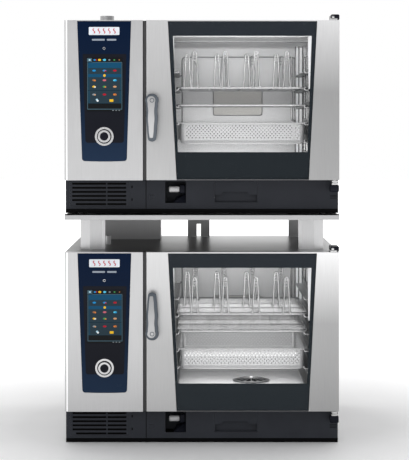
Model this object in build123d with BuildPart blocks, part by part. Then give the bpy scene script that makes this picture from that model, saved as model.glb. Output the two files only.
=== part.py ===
"""Two six-level combi steamer ovens for 2/1 GN trays, stacked one on the other with a stacking frame.

Units are millimetres, +Z is up and the fronts face -Y. Both ovens are the same, so every oven piece
is modelled once, standing on Z = 0, and placed once per deck. Depths are measured back from the front
face of the doors, so a negative depth stands proud of the front.
"""

from build123d import *
import os

# ---- driving dimensions ------------------------------------------------------------------------
WIDTH = 1072
HALF = WIDTH / 2
DECK_HEIGHT = 754
DECK_PITCH = 905
CASING_DEPTH = 985
FRONT_Y = -491
SHEET = 2
GAP = 0.4

DECKS = {"lower": 0, "upper": DECK_PITCH}
DECK_PLACES = [Location((0, 0, z)) for z in DECKS.values()]

# front face, left to right
PANEL_DEPTH = 57
SKIRT_HEIGHT = 16
FASCIA_BOTTOM = 130
FASCIA_RIGHT = -230.5
FASCIA_EDGE = 6
CASING_FRONT = 60.4
BASE_FOLD = 18
LOUVRES = (-370, 560)
LOUVRE_SIZE = (160, 7)
LOUVRE_PITCH = 18
LOUVRE_COUNT = 8

# operating panel on the fascia
PANEL_TOP = (-485.3, -275.9, 750)
PANEL_BOTTOM = (-466.7, -293, 205.7)
PANEL_BULGE = 2
PANEL_CORNER = 11
SCREEN_X = (-448, -309.4)
SCREEN_Z = (399, 607.7)
PANEL_FRONT = -1.2
PANEL_THICK = 9
SCREEN_DEPTH = (-1.6, 1.4)
DIAL_X = -380.5
DIAL_Z = 301.5
DIAL_STEM = 5
DIAL_CAP = 16.2
DIAL_RADIUS = 24.7
DIAL_PROUD = 14
DIAL_BACK = -3.6
DIAL_CUP = -7.5
CAP_BACK = -8
SURROUND_RADII = (36.6, 28)
SURROUND_THICK = 2.8

# lower service panel
FILTER_X = (-520, -283)
FILTER_Z = (25.6, 123)
FILTER_ROWS = 6
FILTER_PITCH = 16.1
FILTER_SLOT = 8
FILTER_TOP_ROW = 115
FILTER_HALVES = ((-510.4, -377), (-372, -297.7))
FILTER_LAST_LEFT = -496.4
FILTER_WALL = 4
FILTER_THICK = 18
SPLIT_X = -219.5
SPLIT_GROOVE = 0.8
USB_X = (-207.5, -188)
USB_Z = (54, 71)
SHOWER_X = (-144, -62.8)
SERVICE_Z = (39, 124)
SHOWER_DEPTH = 135
SHOWER_NECK_X = -97
SHOWER_Z = 92.5
SHOWER_NECK = 8
SHOWER_AXIS = 72
SHOWER_HEAD = (-130, -88, 11.3)
SHOWER_CAP = (-88, -66, 10)
SHOWER_REACH = 235
DRAWER_X = (48.5, 220)
DRAWER_DEPTH = 320
DRAWER_FRONT = 20
GRIP_DEPTH = 16
GRIP_TOP = 71.5
GRIP_THUMB = ((84, 177, 83), (76, 185, 71))

# door
DOOR_X = (-217.5, 536)
DOOR_Z = (131, 754)
DOOR_DEPTH = 54
DOOR_EDGE = 4
GLASS_TOP = (-132.7, 448.7, 749.6)
GLASS_BOTTOM = (-99.1, 417.2, 134.4)
PANE = 4
WINDOW_X = (-120, 436)
WINDOW_Z = (200, 705)
HINGE_X = 518
HINGE_DEPTH = 20
PIN = 6
RUNNING = 0.05
HINGE_BLOCK_X = (501, HALF)
HINGE_BLOCK_Z = (84, 116)
HINGE_COLLAR = (14, 13)
HINGE_CAP_HEIGHT = 23
HINGE_CAP_BACK = 110
LATCH = ((-228, -219.5), (10, 46))
LATCH_HALF = 40
HANDLE_X = -193
HANDLE_Z = 441.5
HANDLE_LENGTH = 160
HANDLE_RADII = (26, 23, 16)
HANDLE_BELLY = 69
HANDLE_BACK = -28
HANDLE_THICK = 32
HANDLE_NECK = 19
SPINDLE = 10
SPINDLE_SLEEVE = 14
HANDLES_POINT = {"lower": 1, "upper": -1}

# oven chamber
CHAMBER_X = (-200, 455)
CHAMBER_Z = (175, 705)
CHAMBER_DEPTH = 855
CHAMBER_CORNER = 20
GASKET = 8
GASKET_OVERLAP = 22
BAFFLE_X = -140
FAN_Z = 440
FAN_DEPTH = 460
FAN_RADIUS = 150
SHAFT = 8
FAN_BLADES = 16
FAN_BLADE = (44, 40)
FAN_PLATE_X = BAFFLE_X - 55
MOTOR_X = (-340, -220)
MOTOR_RADIUS = 62
COIL_X = (-188, -172, -156)
COIL_RADIUS = FAN_RADIUS + 25
COIL_TUBE = 5
BAFFLE_HOLE = 13
BAFFLE_RINGS = ((45, 8), (88, 16))
STRAINER = (207, 520)
STRAINER_RADII = (79, 50, 12)
LEVELS = [217 + 69 * i for i in range(6)]
TRAY_X = (-104, 426)
TRAY_DEPTH = (175, 825)
TRAY_MIDDLE = (TRAY_X[0] + TRAY_X[1]) / 2
CONTAINER_LEVEL = LEVELS[2]
CONTAINER_HEIGHT = 86
GRID_LEVEL = LEVELS[3]
SPIKE_LEVEL = LEVELS[4]
SPIKE_HEIGHT = 145
SPIKE_ROWS = ((195, -29), (455, -60), (715, -29))
SPIKE_PITCH = 123
SPIKE_SPREAD = (20, 5)
SPIKE_WIRE = 3
RACK_X = (-132, TRAY_X[1] + 22)
RACK_DEPTHS = (190, 500, 810)
RACK_Z = (205, 640)
RAIL_DEPTH = (155, 845)
RAIL_REACH = (5, 40)
FRAME_WIRE = 4
CROSS_WIRE = 2
CROSS_PITCH = 38
SUPPORTS = (55, 160, 266)
RIM = 23
RIM_CORNER = 30

# behind the fascia and the rear panel
BOARDS = (
    ((-480, -290), (30, 34), (230, 690)),
    ((-440, -320), (34 + GAP, 54), (430, 590)),
    ((-510, -508), (120, 420), (150, 700)),
    ((-507.6, -470), (160, 240), (200, 330)),
    ((-507.6, -478), (160, 380), (380, 520)),
    ((-206, -190), (PANEL_DEPTH + 4, PANEL_DEPTH + 24), (56, 67)),
)
BOILER = (-400, FRONT_Y + 760)
BOILER_RADIUS = 85
BOILER_Z = (150, 530)
STEAM_PIPE = 20
STEAM_PIPE_TOP = 580
# x, z, radius and reach of the drain, the two water inlets and the cable gland
CONNECTIONS = ((-420, 110, 25, 57), (-300, 90, 11, 30), (-250, 90, 11, 30), (-470, 240, 14, 24))
CONNECTION_WALL = 3
CONNECTION_COLLAR = (8, 6)

# stacking frame
STACK_BOTTOM = 754.4
RAIL_Z = (880.7, 898.7)
RAIL_WIDTH = 40
POST_DEPTH = (150, 200)
POST_TOP = RAIL_Z[1] - SHEET - GAP
POST_WALL = 3
PAD_RADIUS = 14
PAD_INSET = 60
REAR_POSTS = ((-63, 34), (385, 481), (-481, -385))
REAR_POST_DEPTH = (955, 975)
POST_SLOT = (-23, -5)
POST_SLOT_TOP = 809
DUCT_X = (-415, -178)
DUCT_DEPTH = (750, 940)
VENT = (-410, FRONT_Y + 770)
VENT_RADIUS = 30
VENT_HEIGHT = 56
VENT_FLANGE_X = -435
VENT_FLANGE = (150, 110)
VENT_FLANGE_THICK = 4
STUB = (-388.5, FRONT_Y + 440)
STUB_RADIUS = 11.5
STUB_HEIGHT = 35


# ---- helpers -----------------------------------------------------------------------------------
def middle(span):
    """Return the midpoint of a (low, high) pair."""
    return (span[0] + span[1]) / 2


def length(span):
    """Return the length of a (low, high) pair."""
    return span[1] - span[0]


def inset(span, amount):
    """Return a (low, high) pair moved in by amount at both ends."""
    return (span[0] + amount, span[1] - amount)


def block(x, depth, z, mode=Mode.ADD):
    """Add a box between three (low, high) pairs to the part that is being built."""
    with Locations((middle(x), FRONT_Y + middle(depth), middle(z))):
        Box(length(x), length(depth), length(z), mode=mode)


def face_plane(depth):
    """Return the plane that looks at the front from outside, at the given depth."""
    return Plane.XZ.offset(-(FRONT_Y + depth))


def side_plane(x):
    """Return the plane that looks along +X, at the given X, with its own X along the depth."""
    return Plane.YZ.offset(x)


def rod(start, end, radius):
    """Add a straight round rod between two (x, depth, z) points."""
    foot = Vector(start[0], FRONT_Y + start[1], start[2])
    run = Vector(end[0], FRONT_Y + end[1], end[2]) - foot
    with BuildSketch(Plane(origin=foot, z_dir=run)) as section:
        Circle(radius)
    extrude(section.sketch, amount=run.length)


def tapered(top, bottom):
    """Draw the four-sided outline between a top and a bottom edge, each (left, right, z)."""
    with BuildLine() as outline:
        Polyline(
            (top[0], top[2]), (top[1], top[2]), (bottom[1], bottom[2]), (bottom[0], bottom[2]), close=True
        )
    make_face(outline.edges())


def operating_outline(clearance):
    """Draw the operating panel's outline, with a bowed lower edge, grown by the clearance."""
    left, right, low = PANEL_BOTTOM
    with BuildLine() as outline:
        Polyline(
            (left, low), (PANEL_TOP[0], PANEL_TOP[2]), (PANEL_TOP[1], PANEL_TOP[2]), (right, low)
        )
        ThreePointArc((left, low), (middle((left, right)), low - PANEL_BULGE), (right, low))
    make_face(outline.edges())
    fillet(vertices().group_by(Axis.Y)[0], PANEL_CORNER)
    if clearance:
        offset(amount=clearance, mode=Mode.REPLACE)


def export(name, part):
    """Label a finished piece and write it under its own name."""
    part.label = name
    export_step(part, f"parts/{name}.step")


os.makedirs("parts", exist_ok=True)

# ---- casing ------------------------------------------------------------------------------------
with BuildPart() as side_panels:
    for x in ((-HALF, -HALF + SHEET), (HALF - SHEET, HALF)):
        block(x, (CASING_FRONT, CASING_DEPTH - GAP), (SKIRT_HEIGHT + GAP, DECK_HEIGHT - SHEET - GAP))

with BuildPart() as top_panel:
    block((-HALF, HALF), (CASING_FRONT, CASING_DEPTH), (DECK_HEIGHT - SHEET, DECK_HEIGHT))

with BuildPart() as rear_panel:
    block(
        inset((-HALF, HALF), SHEET + GAP),
        (CASING_DEPTH - SHEET, CASING_DEPTH),
        (SKIRT_HEIGHT + GAP, DECK_HEIGHT - SHEET - GAP),
    )
    with BuildSketch(face_plane(CASING_DEPTH)):
        with Locations(LOUVRES):
            with GridLocations(0, LOUVRE_PITCH, 1, LOUVRE_COUNT):
                SlotOverall(*LOUVRE_SIZE)
    extrude(amount=SHEET, mode=Mode.SUBTRACT)

with BuildPart() as base_frame:
    block((-HALF, HALF), (PANEL_DEPTH, CASING_DEPTH), (0, SKIRT_HEIGHT))
    block(
        inset((-HALF, HALF), BASE_FOLD),
        inset((PANEL_DEPTH, CASING_DEPTH), BASE_FOLD),
        (0, SKIRT_HEIGHT - SHEET),
        Mode.SUBTRACT,
    )

with BuildPart() as fascia:
    block((-HALF, FASCIA_RIGHT), (0, CASING_FRONT - GAP), (FASCIA_BOTTOM, DECK_HEIGHT))
    fillet(edges().filter_by(Axis.Z).group_by(Axis.Y)[0].sort_by(Axis.X)[0], FASCIA_EDGE)
    offset(amount=-SHEET, openings=faces().sort_by(Axis.Y)[-1])
    with BuildSketch(face_plane(-1)):
        operating_outline(GAP)
    extrude(amount=-(SHEET + 2), mode=Mode.SUBTRACT)

with BuildPart() as lower_panel:
    block(
        inset((-HALF, HALF), GAP),
        (PANEL_DEPTH, CASING_FRONT - GAP),
        (SKIRT_HEIGHT + GAP, FASCIA_BOTTOM - GAP),
    )
    block(
        (SPLIT_X - SPLIT_GROOVE, SPLIT_X + SPLIT_GROOVE),
        (PANEL_DEPTH, PANEL_DEPTH + SPLIT_GROOVE),
        (SKIRT_HEIGHT, FASCIA_BOTTOM),
        Mode.SUBTRACT,
    )
    for x, z in (
        (FILTER_X, FILTER_Z),
        (USB_X, USB_Z),
        (SHOWER_X, SERVICE_Z),
        (DRAWER_X, SERVICE_Z),
    ):
        block(x, (PANEL_DEPTH - 1, CASING_FRONT), z, Mode.SUBTRACT)
    block(inset(SHOWER_X, -SHEET), (CASING_FRONT, SHOWER_DEPTH + 10), inset(SERVICE_Z, -SHEET))
    block(SHOWER_X, (CASING_FRONT - 1, SHOWER_DEPTH), SERVICE_Z, Mode.SUBTRACT)
    with BuildSketch(face_plane(SHOWER_DEPTH - 1)):
        with Locations((SHOWER_NECK_X, SHOWER_Z)):
            Circle(SHOWER_NECK + RUNNING)
    extrude(amount=-12, mode=Mode.SUBTRACT)

# ---- operating panel ---------------------------------------------------------------------------
with BuildPart() as control_panel:
    with BuildSketch(face_plane(PANEL_FRONT)):
        operating_outline(0)
    extrude(amount=-PANEL_THICK)
    block(inset(SCREEN_X, -GAP), inset(SCREEN_DEPTH, -GAP), inset(SCREEN_Z, -GAP), Mode.SUBTRACT)
    with BuildSketch(face_plane(-2)):
        with Locations((DIAL_X, DIAL_Z)):
            Circle(DIAL_STEM + RUNNING)
    extrude(amount=-12, mode=Mode.SUBTRACT)

with BuildPart() as touch_screen:
    block(SCREEN_X, SCREEN_DEPTH, SCREEN_Z)

with BuildPart() as dial_surround:
    with BuildSketch(face_plane(SCREEN_DEPTH[0])):
        with Locations((DIAL_X, DIAL_Z)):
            Circle(SURROUND_RADII[0])
            Circle(SURROUND_RADII[1], mode=Mode.SUBTRACT)
    extrude(amount=SURROUND_THICK)
    fillet(edges().filter_by(GeomType.CIRCLE).group_by(Axis.Y)[0], 1)

with BuildPart() as dial_shaft:
    with BuildSketch(face_plane(CAP_BACK)):
        with Locations((DIAL_X, DIAL_Z)):
            Circle(DIAL_CAP)
    extrude(amount=DIAL_PROUD + CAP_BACK)
    fillet(edges().group_by(Axis.Y)[0], 1.5)
    with BuildSketch(face_plane(CAP_BACK)):
        with Locations((DIAL_X, DIAL_Z)):
            Circle(DIAL_STEM)
    extrude(amount=-30)

with BuildPart() as dial:
    with BuildSketch(face_plane(DIAL_BACK)):
        with Locations((DIAL_X, DIAL_Z)):
            Circle(DIAL_RADIUS)
    extrude(amount=DIAL_PROUD + DIAL_BACK)
    fillet(edges().group_by(Axis.Y)[0], 2)
    with BuildSketch(face_plane(DIAL_CUP)):
        with Locations((DIAL_X, DIAL_Z)):
            Circle(DIAL_CAP + GAP)
    extrude(amount=20, mode=Mode.SUBTRACT)
    with BuildSketch(face_plane(0)):
        with Locations((DIAL_X, DIAL_Z)):
            Circle(DIAL_STEM + RUNNING)
    extrude(amount=20, mode=Mode.SUBTRACT)

# ---- pieces that slide or swing out of the lower panel -------------------------------------------
with BuildPart() as filter_grille:
    block(inset(FILTER_X, GAP), (PANEL_DEPTH + 0.2, PANEL_DEPTH + FILTER_THICK), inset(FILTER_Z, GAP))
    block(
        inset(FILTER_X, FILTER_WALL),
        (PANEL_DEPTH + 3, PANEL_DEPTH + FILTER_THICK + 1),
        inset(FILTER_Z, FILTER_WALL),
        Mode.SUBTRACT,
    )
    with BuildSketch(face_plane(PANEL_DEPTH - 1)):
        for row in range(FILTER_ROWS):
            z = FILTER_TOP_ROW - FILTER_PITCH * row
            left = FILTER_HALVES[0][0] if row < FILTER_ROWS - 1 else FILTER_LAST_LEFT
            for x in ((left, FILTER_HALVES[0][1]), FILTER_HALVES[1]):
                with Locations((middle(x), z)):
                    Rectangle(length(x), FILTER_SLOT)
    extrude(amount=-6, mode=Mode.SUBTRACT)
    block(
        inset(FILTER_X, FILTER_WALL + GAP),
        (PANEL_DEPTH + 8, PANEL_DEPTH + 16),
        inset(FILTER_Z, FILTER_WALL + GAP),
    )

with BuildPart() as usb_flap:
    block(inset(USB_X, 0.3), (PANEL_DEPTH + 0.3, PANEL_DEPTH + 2.3), (USB_Z[0] + 0.3, USB_Z[1] - 2))
    rod(
        (USB_X[0] + 0.3, PANEL_DEPTH + 1.3, USB_Z[1] - 2),
        (USB_X[1] - 0.3, PANEL_DEPTH + 1.3, USB_Z[1] - 2),
        1.3,
    )

with BuildPart() as hand_shower:
    for left, right, radius in (SHOWER_HEAD, SHOWER_CAP):
        rod((left, SHOWER_AXIS, SHOWER_Z), (right, SHOWER_AXIS, SHOWER_Z), radius)
    rod(
        (SHOWER_NECK_X, SHOWER_AXIS, SHOWER_Z), (SHOWER_NECK_X, SHOWER_REACH, SHOWER_Z), SHOWER_NECK
    )

with BuildPart() as care_drawer:
    block(
        inset(DRAWER_X, GAP), (PANEL_DEPTH + 0.3, PANEL_DEPTH + DRAWER_FRONT), inset(SERVICE_Z, GAP)
    )
    block(
        inset(DRAWER_X, 3),
        (PANEL_DEPTH, PANEL_DEPTH + GRIP_DEPTH),
        (SERVICE_Z[0] + 3, GRIP_TOP),
        Mode.SUBTRACT,
    )
    with BuildSketch(face_plane(PANEL_DEPTH)):
        tapered(*GRIP_THUMB)
    extrude(amount=-GRIP_DEPTH, mode=Mode.SUBTRACT)
    block(
        inset(DRAWER_X, 5),
        (PANEL_DEPTH + DRAWER_FRONT, DRAWER_DEPTH),
        (SERVICE_Z[0] + 3, SERVICE_Z[1] - 10),
    )
    block(
        inset(DRAWER_X, 5 + SHEET),
        (PANEL_DEPTH + DRAWER_FRONT, DRAWER_DEPTH - SHEET),
        (SERVICE_Z[0] + 3 + SHEET, SERVICE_Z[1]),
        Mode.SUBTRACT,
    )

# ---- door --------------------------------------------------------------------------------------
with BuildPart() as door_frame:
    block(DOOR_X, (0, DOOR_DEPTH), DOOR_Z)
    fillet(edges().filter_by(Axis.Z).group_by(Axis.Y)[0], DOOR_EDGE)
    offset(amount=-SHEET, openings=faces().sort_by(Axis.Y)[-1])
    with BuildSketch(face_plane(-1)):
        tapered(GLASS_TOP, GLASS_BOTTOM)
        offset(amount=0.3, kind=Kind.INTERSECTION, mode=Mode.REPLACE)
    extrude(amount=-(SHEET + 2), mode=Mode.SUBTRACT)
    with BuildSketch(Plane.XY.offset(DOOR_Z[0])):
        with Locations((HINGE_X, FRONT_Y + HINGE_DEPTH)):
            Circle(PIN + 3)
    extrude(amount=length(DOOR_Z))
    with BuildSketch(Plane.XY):
        with Locations((HINGE_X, FRONT_Y + HINGE_DEPTH)):
            Circle(PIN + RUNNING)
    extrude(amount=DECK_HEIGHT + 1, mode=Mode.SUBTRACT)
    with BuildSketch(face_plane(0)):
        with Locations((HANDLE_X, HANDLE_Z)):
            Circle(SPINDLE_SLEEVE)
    extrude(amount=-DOOR_DEPTH + 10)
    with BuildSketch(face_plane(-1)):
        with Locations((HANDLE_X, HANDLE_Z)):
            Circle(SPINDLE + RUNNING)
    extrude(amount=-DOOR_DEPTH, mode=Mode.SUBTRACT)

with BuildPart() as door_back:
    block(inset(DOOR_X, SHEET + GAP), (DOOR_DEPTH - PANE, DOOR_DEPTH), inset(DOOR_Z, SHEET + GAP))
    block(WINDOW_X, (0, DOOR_DEPTH + 1), WINDOW_Z, Mode.SUBTRACT)

with BuildPart() as door_outer_glass:
    with BuildSketch(face_plane(0.4)):
        tapered(GLASS_TOP, GLASS_BOTTOM)
    extrude(amount=-PANE)

with BuildPart() as door_inner_glass:
    block(inset(WINDOW_X, GAP), (DOOR_DEPTH - PANE, DOOR_DEPTH), inset(WINDOW_Z, GAP))
    block(inset(WINDOW_X, -8), (26, 26 + PANE), inset(WINDOW_Z, -8))


def lever(toward):
    """Build the door handle: a round hub and a tapered lever that points up (1) or down (-1)."""
    with BuildPart() as handle:
        tip = HANDLE_LENGTH - HANDLE_RADII[-1]
        with BuildSketch(face_plane(HANDLE_BACK)):
            for along, radius in zip((0, HANDLE_BELLY, tip), HANDLE_RADII):
                with Locations((HANDLE_X, HANDLE_Z + along * toward)):
                    Circle(radius)
            make_hull()
        extrude(amount=HANDLE_THICK)
        fillet(edges().group_by(Axis.Y)[0], 6)
        with BuildSketch(face_plane(-0.6)):
            with Locations((HANDLE_X, HANDLE_Z)):
                Circle(HANDLE_NECK)
        extrude(amount=-HANDLE_BACK)
        with BuildSketch(face_plane(-1)):
            with Locations((HANDLE_X, HANDLE_Z)):
                Circle(SPINDLE)
        extrude(amount=-36)
    return handle.part


# ---- hinges ------------------------------------------------------------------------------------
with BuildPart() as hinge_set:
    block(HINGE_BLOCK_X, (4, PANEL_DEPTH - GAP), HINGE_BLOCK_Z)
    with BuildSketch(Plane.XY.offset(HINGE_BLOCK_Z[1])):
        with Locations((HINGE_X, FRONT_Y + HINGE_DEPTH)):
            Circle(HINGE_COLLAR[0])
    extrude(amount=HINGE_COLLAR[1])
    with BuildSketch(Plane.XY.offset(HINGE_BLOCK_Z[1] + HINGE_COLLAR[1])):
        with Locations((HINGE_X, FRONT_Y + HINGE_DEPTH)):
            Circle(PIN)
    extrude(amount=22)
    block(HINGE_BLOCK_X, (4, HINGE_CAP_BACK), (DECK_HEIGHT + GAP, DECK_HEIGHT + HINGE_CAP_HEIGHT))
    with BuildSketch(Plane.XY.offset(DECK_HEIGHT - 20)):
        with Locations((HINGE_X, FRONT_Y + HINGE_DEPTH)):
            Circle(PIN)
    extrude(amount=22)

with BuildPart() as latch:
    block(*LATCH, (HANDLE_Z - LATCH_HALF, HANDLE_Z + LATCH_HALF))

# ---- oven chamber ------------------------------------------------------------------------------
with BuildPart() as chamber:
    block(inset(CHAMBER_X, -SHEET), (CASING_FRONT, CHAMBER_DEPTH + SHEET), inset(CHAMBER_Z, -SHEET))
    block((-217, HALF - 4), (CASING_FRONT, CASING_FRONT + SHEET), (FASCIA_BOTTOM + 2, DECK_HEIGHT - 4))
    with BuildSketch(face_plane(CASING_FRONT - 1)):
        with Locations((middle(CHAMBER_X), middle(CHAMBER_Z))):
            RectangleRounded(length(CHAMBER_X), length(CHAMBER_Z), CHAMBER_CORNER)
    extrude(amount=-(CHAMBER_DEPTH - CASING_FRONT + 1), mode=Mode.SUBTRACT)
    with BuildSketch(side_plane(CHAMBER_X[0] - 10)):
        with Locations((FRONT_Y + FAN_DEPTH, FAN_Z)):
            Circle(SHAFT + 4)
    extrude(amount=20, mode=Mode.SUBTRACT)

with BuildPart() as door_gasket:
    with BuildSketch(face_plane(CASING_FRONT - GAP)):
        with Locations((middle(CHAMBER_X), middle(CHAMBER_Z))):
            for overlap, mode in ((GASKET_OVERLAP, Mode.ADD), (GASKET_OVERLAP - 2 * GASKET, Mode.SUBTRACT)):
                RectangleRounded(
                    length(CHAMBER_X) + overlap,
                    length(CHAMBER_Z) + overlap,
                    CHAMBER_CORNER + overlap / 2,
                    mode=mode,
                )
    extrude(amount=CASING_FRONT - DOOR_DEPTH - 2 * GAP)

with BuildPart() as air_baffle:
    block((BAFFLE_X, BAFFLE_X + SHEET), (90, CHAMBER_DEPTH - 25), inset(CHAMBER_Z, CHAMBER_CORNER))
    with BuildSketch(side_plane(BAFFLE_X - 1)):
        with Locations((FRONT_Y + FAN_DEPTH, FAN_Z)):
            for radius, holes in BAFFLE_RINGS:
                with PolarLocations(radius, holes):
                    Circle(BAFFLE_HOLE)
    extrude(amount=SHEET + 2, mode=Mode.SUBTRACT)

with BuildPart() as fan_wheel:
    with BuildSketch(side_plane(FAN_PLATE_X)):
        with Locations((FRONT_Y + FAN_DEPTH, FAN_Z)):
            Circle(FAN_RADIUS)
    extrude(amount=SHEET)
    with BuildSketch(side_plane(FAN_PLATE_X + SHEET)):
        with Locations((FRONT_Y + FAN_DEPTH, FAN_Z)):
            with PolarLocations(FAN_RADIUS - 25, FAN_BLADES):
                Rectangle(FAN_BLADE[0], SHEET)
    extrude(amount=FAN_BLADE[1])
    with BuildSketch(side_plane(FAN_PLATE_X + SHEET + FAN_BLADE[1])):
        with Locations((FRONT_Y + FAN_DEPTH, FAN_Z)):
            Circle(FAN_RADIUS)
            Circle(FAN_RADIUS - 48, mode=Mode.SUBTRACT)
    extrude(amount=SHEET)
    with BuildSketch(side_plane(FAN_PLATE_X + SHEET)):
        with Locations((FRONT_Y + FAN_DEPTH, FAN_Z)):
            Circle(20)
    extrude(amount=30)
    with BuildSketch(side_plane(FAN_PLATE_X - 5)):
        with Locations((FRONT_Y + FAN_DEPTH, FAN_Z)):
            Circle(SHAFT + RUNNING)
    extrude(amount=60, mode=Mode.SUBTRACT)

with BuildPart() as fan_motor:
    with BuildSketch(side_plane(MOTOR_X[0])):
        with Locations((FRONT_Y + FAN_DEPTH, FAN_Z)):
            Circle(MOTOR_RADIUS)
    extrude(amount=length(MOTOR_X))
    with BuildSketch(side_plane(MOTOR_X[1])):
        with Locations((FRONT_Y + FAN_DEPTH, FAN_Z)):
            Circle(SHAFT)
    extrude(amount=BAFFLE_X - 20 - MOTOR_X[1])

with BuildPart() as heater_coil:
    for x in COIL_X:
        with Locations(Location((x, FRONT_Y + FAN_DEPTH, FAN_Z), (0, 90, 0))):
            Torus(COIL_RADIUS, COIL_TUBE)

with BuildPart() as drain_strainer:
    with BuildSketch(Plane.XY.offset(CHAMBER_Z[0] + GAP)):
        with Locations((STRAINER[0], FRONT_Y + STRAINER[1])):
            Circle(STRAINER_RADII[0])
            with PolarLocations(STRAINER_RADII[1], 8):
                SlotOverall(36, 16, mode=Mode.SUBTRACT)
            Circle(STRAINER_RADII[2], mode=Mode.SUBTRACT)
    extrude(amount=5)
    fillet(edges().group_by(Axis.Z)[-1].sort_by(SortBy.LENGTH)[-1], 2)

# ---- what hangs and stands in the chamber --------------------------------------------------------
with BuildPart() as hanging_rack:
    for wall_x, inward in zip(RACK_X, (1, -1)):
        for depth in RACK_DEPTHS:
            rod((wall_x, depth, RACK_Z[0]), (wall_x, depth, RACK_Z[1]), FRAME_WIRE)
        near, far = (wall_x + reach * inward for reach in RAIL_REACH)
        for level in LEVELS:
            low = level - 8
            block(sorted((near, far)), RAIL_DEPTH, (low, low + 3))
            block(sorted((near, near + 3 * inward)), RAIL_DEPTH, (low + 3 + GAP, low + 24))


def wire_shelf(level, cross_depths):
    """Add a wire shelf: two side wires, thick cross wires at the given depths and thin ones between."""
    for x in inset(TRAY_X, FRAME_WIRE):
        rod((x, TRAY_DEPTH[0], level), (x, TRAY_DEPTH[1], level), FRAME_WIRE)
    ends = inset(TRAY_X, 2 * FRAME_WIRE + 1)
    for depth in cross_depths:
        rod((ends[0], depth, level), (ends[1], depth, level), FRAME_WIRE)
    for step in range(1, round(length(TRAY_DEPTH) / CROSS_PITCH)):
        depth = TRAY_DEPTH[0] + CROSS_PITCH * step
        if min(abs(depth - thick) for thick in cross_depths) > FRAME_WIRE + CROSS_WIRE:
            rod((ends[0], depth, level), (ends[1], depth, level), CROSS_WIRE)
    below = level - 2 * FRAME_WIRE
    for x in SUPPORTS:
        rod((x, TRAY_DEPTH[0] + 1, below), (x, TRAY_DEPTH[1] - 1, below), FRAME_WIRE - GAP)


with BuildPart() as grid_shelf:
    wire_shelf(GRID_LEVEL, (*inset(TRAY_DEPTH, FRAME_WIRE), middle(TRAY_DEPTH)))

with BuildPart() as spike_rack:
    wire_shelf(SPIKE_LEVEL, [depth for depth, first_x in SPIKE_ROWS])
    for depth, first_x in SPIKE_ROWS:
        for column in range(4):
            x = first_x + SPIKE_PITCH * column
            for lean in (-1, 1):
                foot, tip = (x + spread * lean for spread in SPIKE_SPREAD)
                rod((foot, depth, SPIKE_LEVEL + 5), (tip, depth, SPIKE_LEVEL + SPIKE_HEIGHT), SPIKE_WIRE)

with BuildPart() as gn_container:
    with BuildSketch(Plane.XY.offset(CONTAINER_LEVEL - SHEET)):
        with Locations((TRAY_MIDDLE, FRONT_Y + middle(TRAY_DEPTH))):
            RectangleRounded(length(TRAY_X), length(TRAY_DEPTH), RIM_CORNER)
    extrude(amount=SHEET)
    with BuildSketch(Plane.XY.offset(CONTAINER_LEVEL - CONTAINER_HEIGHT)):
        with Locations((TRAY_MIDDLE, FRONT_Y + middle(TRAY_DEPTH))):
            RectangleRounded(length(TRAY_X) - 2 * RIM, length(TRAY_DEPTH) - 2 * RIM, RIM_CORNER + 10)
    extrude(amount=CONTAINER_HEIGHT - SHEET)
    with BuildSketch(Plane.XY.offset(CONTAINER_LEVEL - CONTAINER_HEIGHT + SHEET)):
        with Locations((TRAY_MIDDLE, FRONT_Y + middle(TRAY_DEPTH))):
            RectangleRounded(
                length(TRAY_X) - 2 * (RIM + SHEET), length(TRAY_DEPTH) - 2 * (RIM + SHEET), RIM_CORNER + 8
            )
    extrude(amount=CONTAINER_HEIGHT, mode=Mode.SUBTRACT)

# ---- technical compartment behind the fascia -------------------------------------------------------
with BuildPart() as control_boards:
    for board in BOARDS:
        block(*board)

with BuildPart() as steam_generator:
    for shrink, mode in ((0, Mode.ADD), (SHEET, Mode.SUBTRACT)):
        with BuildSketch(Plane.XY.offset(BOILER_Z[0] + shrink)):
            with Locations(BOILER):
                Circle(BOILER_RADIUS - shrink)
        extrude(amount=length(BOILER_Z) - 2 * shrink, mode=mode)
    for shrink, mode in ((0, Mode.ADD), (SHEET, Mode.SUBTRACT)):
        with BuildSketch(Plane.XY.offset(BOILER_Z[1] - 10 - 10 * shrink)):
            with Locations(BOILER):
                Circle(STEAM_PIPE - shrink)
        extrude(amount=STEAM_PIPE_TOP - BOILER_Z[1] + 10 + 10 * shrink, mode=mode)

with BuildPart() as rear_connection:
    for x, z, radius, reach in CONNECTIONS:
        with BuildSketch(face_plane(CASING_DEPTH + GAP)):
            with Locations((x, z)):
                Circle(radius + CONNECTION_COLLAR[0])
        extrude(amount=-CONNECTION_COLLAR[1])
        with BuildSketch(face_plane(CASING_DEPTH + GAP)):
            with Locations((x, z)):
                Circle(radius)
                Circle(radius - CONNECTION_WALL, mode=Mode.SUBTRACT)
        extrude(amount=-(reach - GAP))

# ---- vents and stacking kit ------------------------------------------------------------------------
with BuildPart() as vent_pipes:
    roof = DECK_PITCH + DECK_HEIGHT + GAP
    with BuildSketch(Plane.XY.offset(roof)):
        with Locations((VENT_FLANGE_X, VENT[1])):
            RectangleRounded(*VENT_FLANGE, 12)
    extrude(amount=VENT_FLANGE_THICK)
    with BuildSketch(Plane.XY.offset(roof + VENT_FLANGE_THICK)):
        with Locations(VENT):
            Circle(VENT_RADIUS)
    extrude(amount=VENT_HEIGHT)
    with BuildSketch(Plane.XY.offset(roof + VENT_FLANGE_THICK - 1)):
        with Locations(VENT):
            Circle(VENT_RADIUS - SHEET)
    extrude(amount=VENT_HEIGHT + 2, mode=Mode.SUBTRACT)
    with BuildSketch(Plane.XY.offset(DECK_HEIGHT + GAP)):
        with Locations(STUB):
            Circle(STUB_RADIUS)
    extrude(amount=STUB_HEIGHT)

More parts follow.
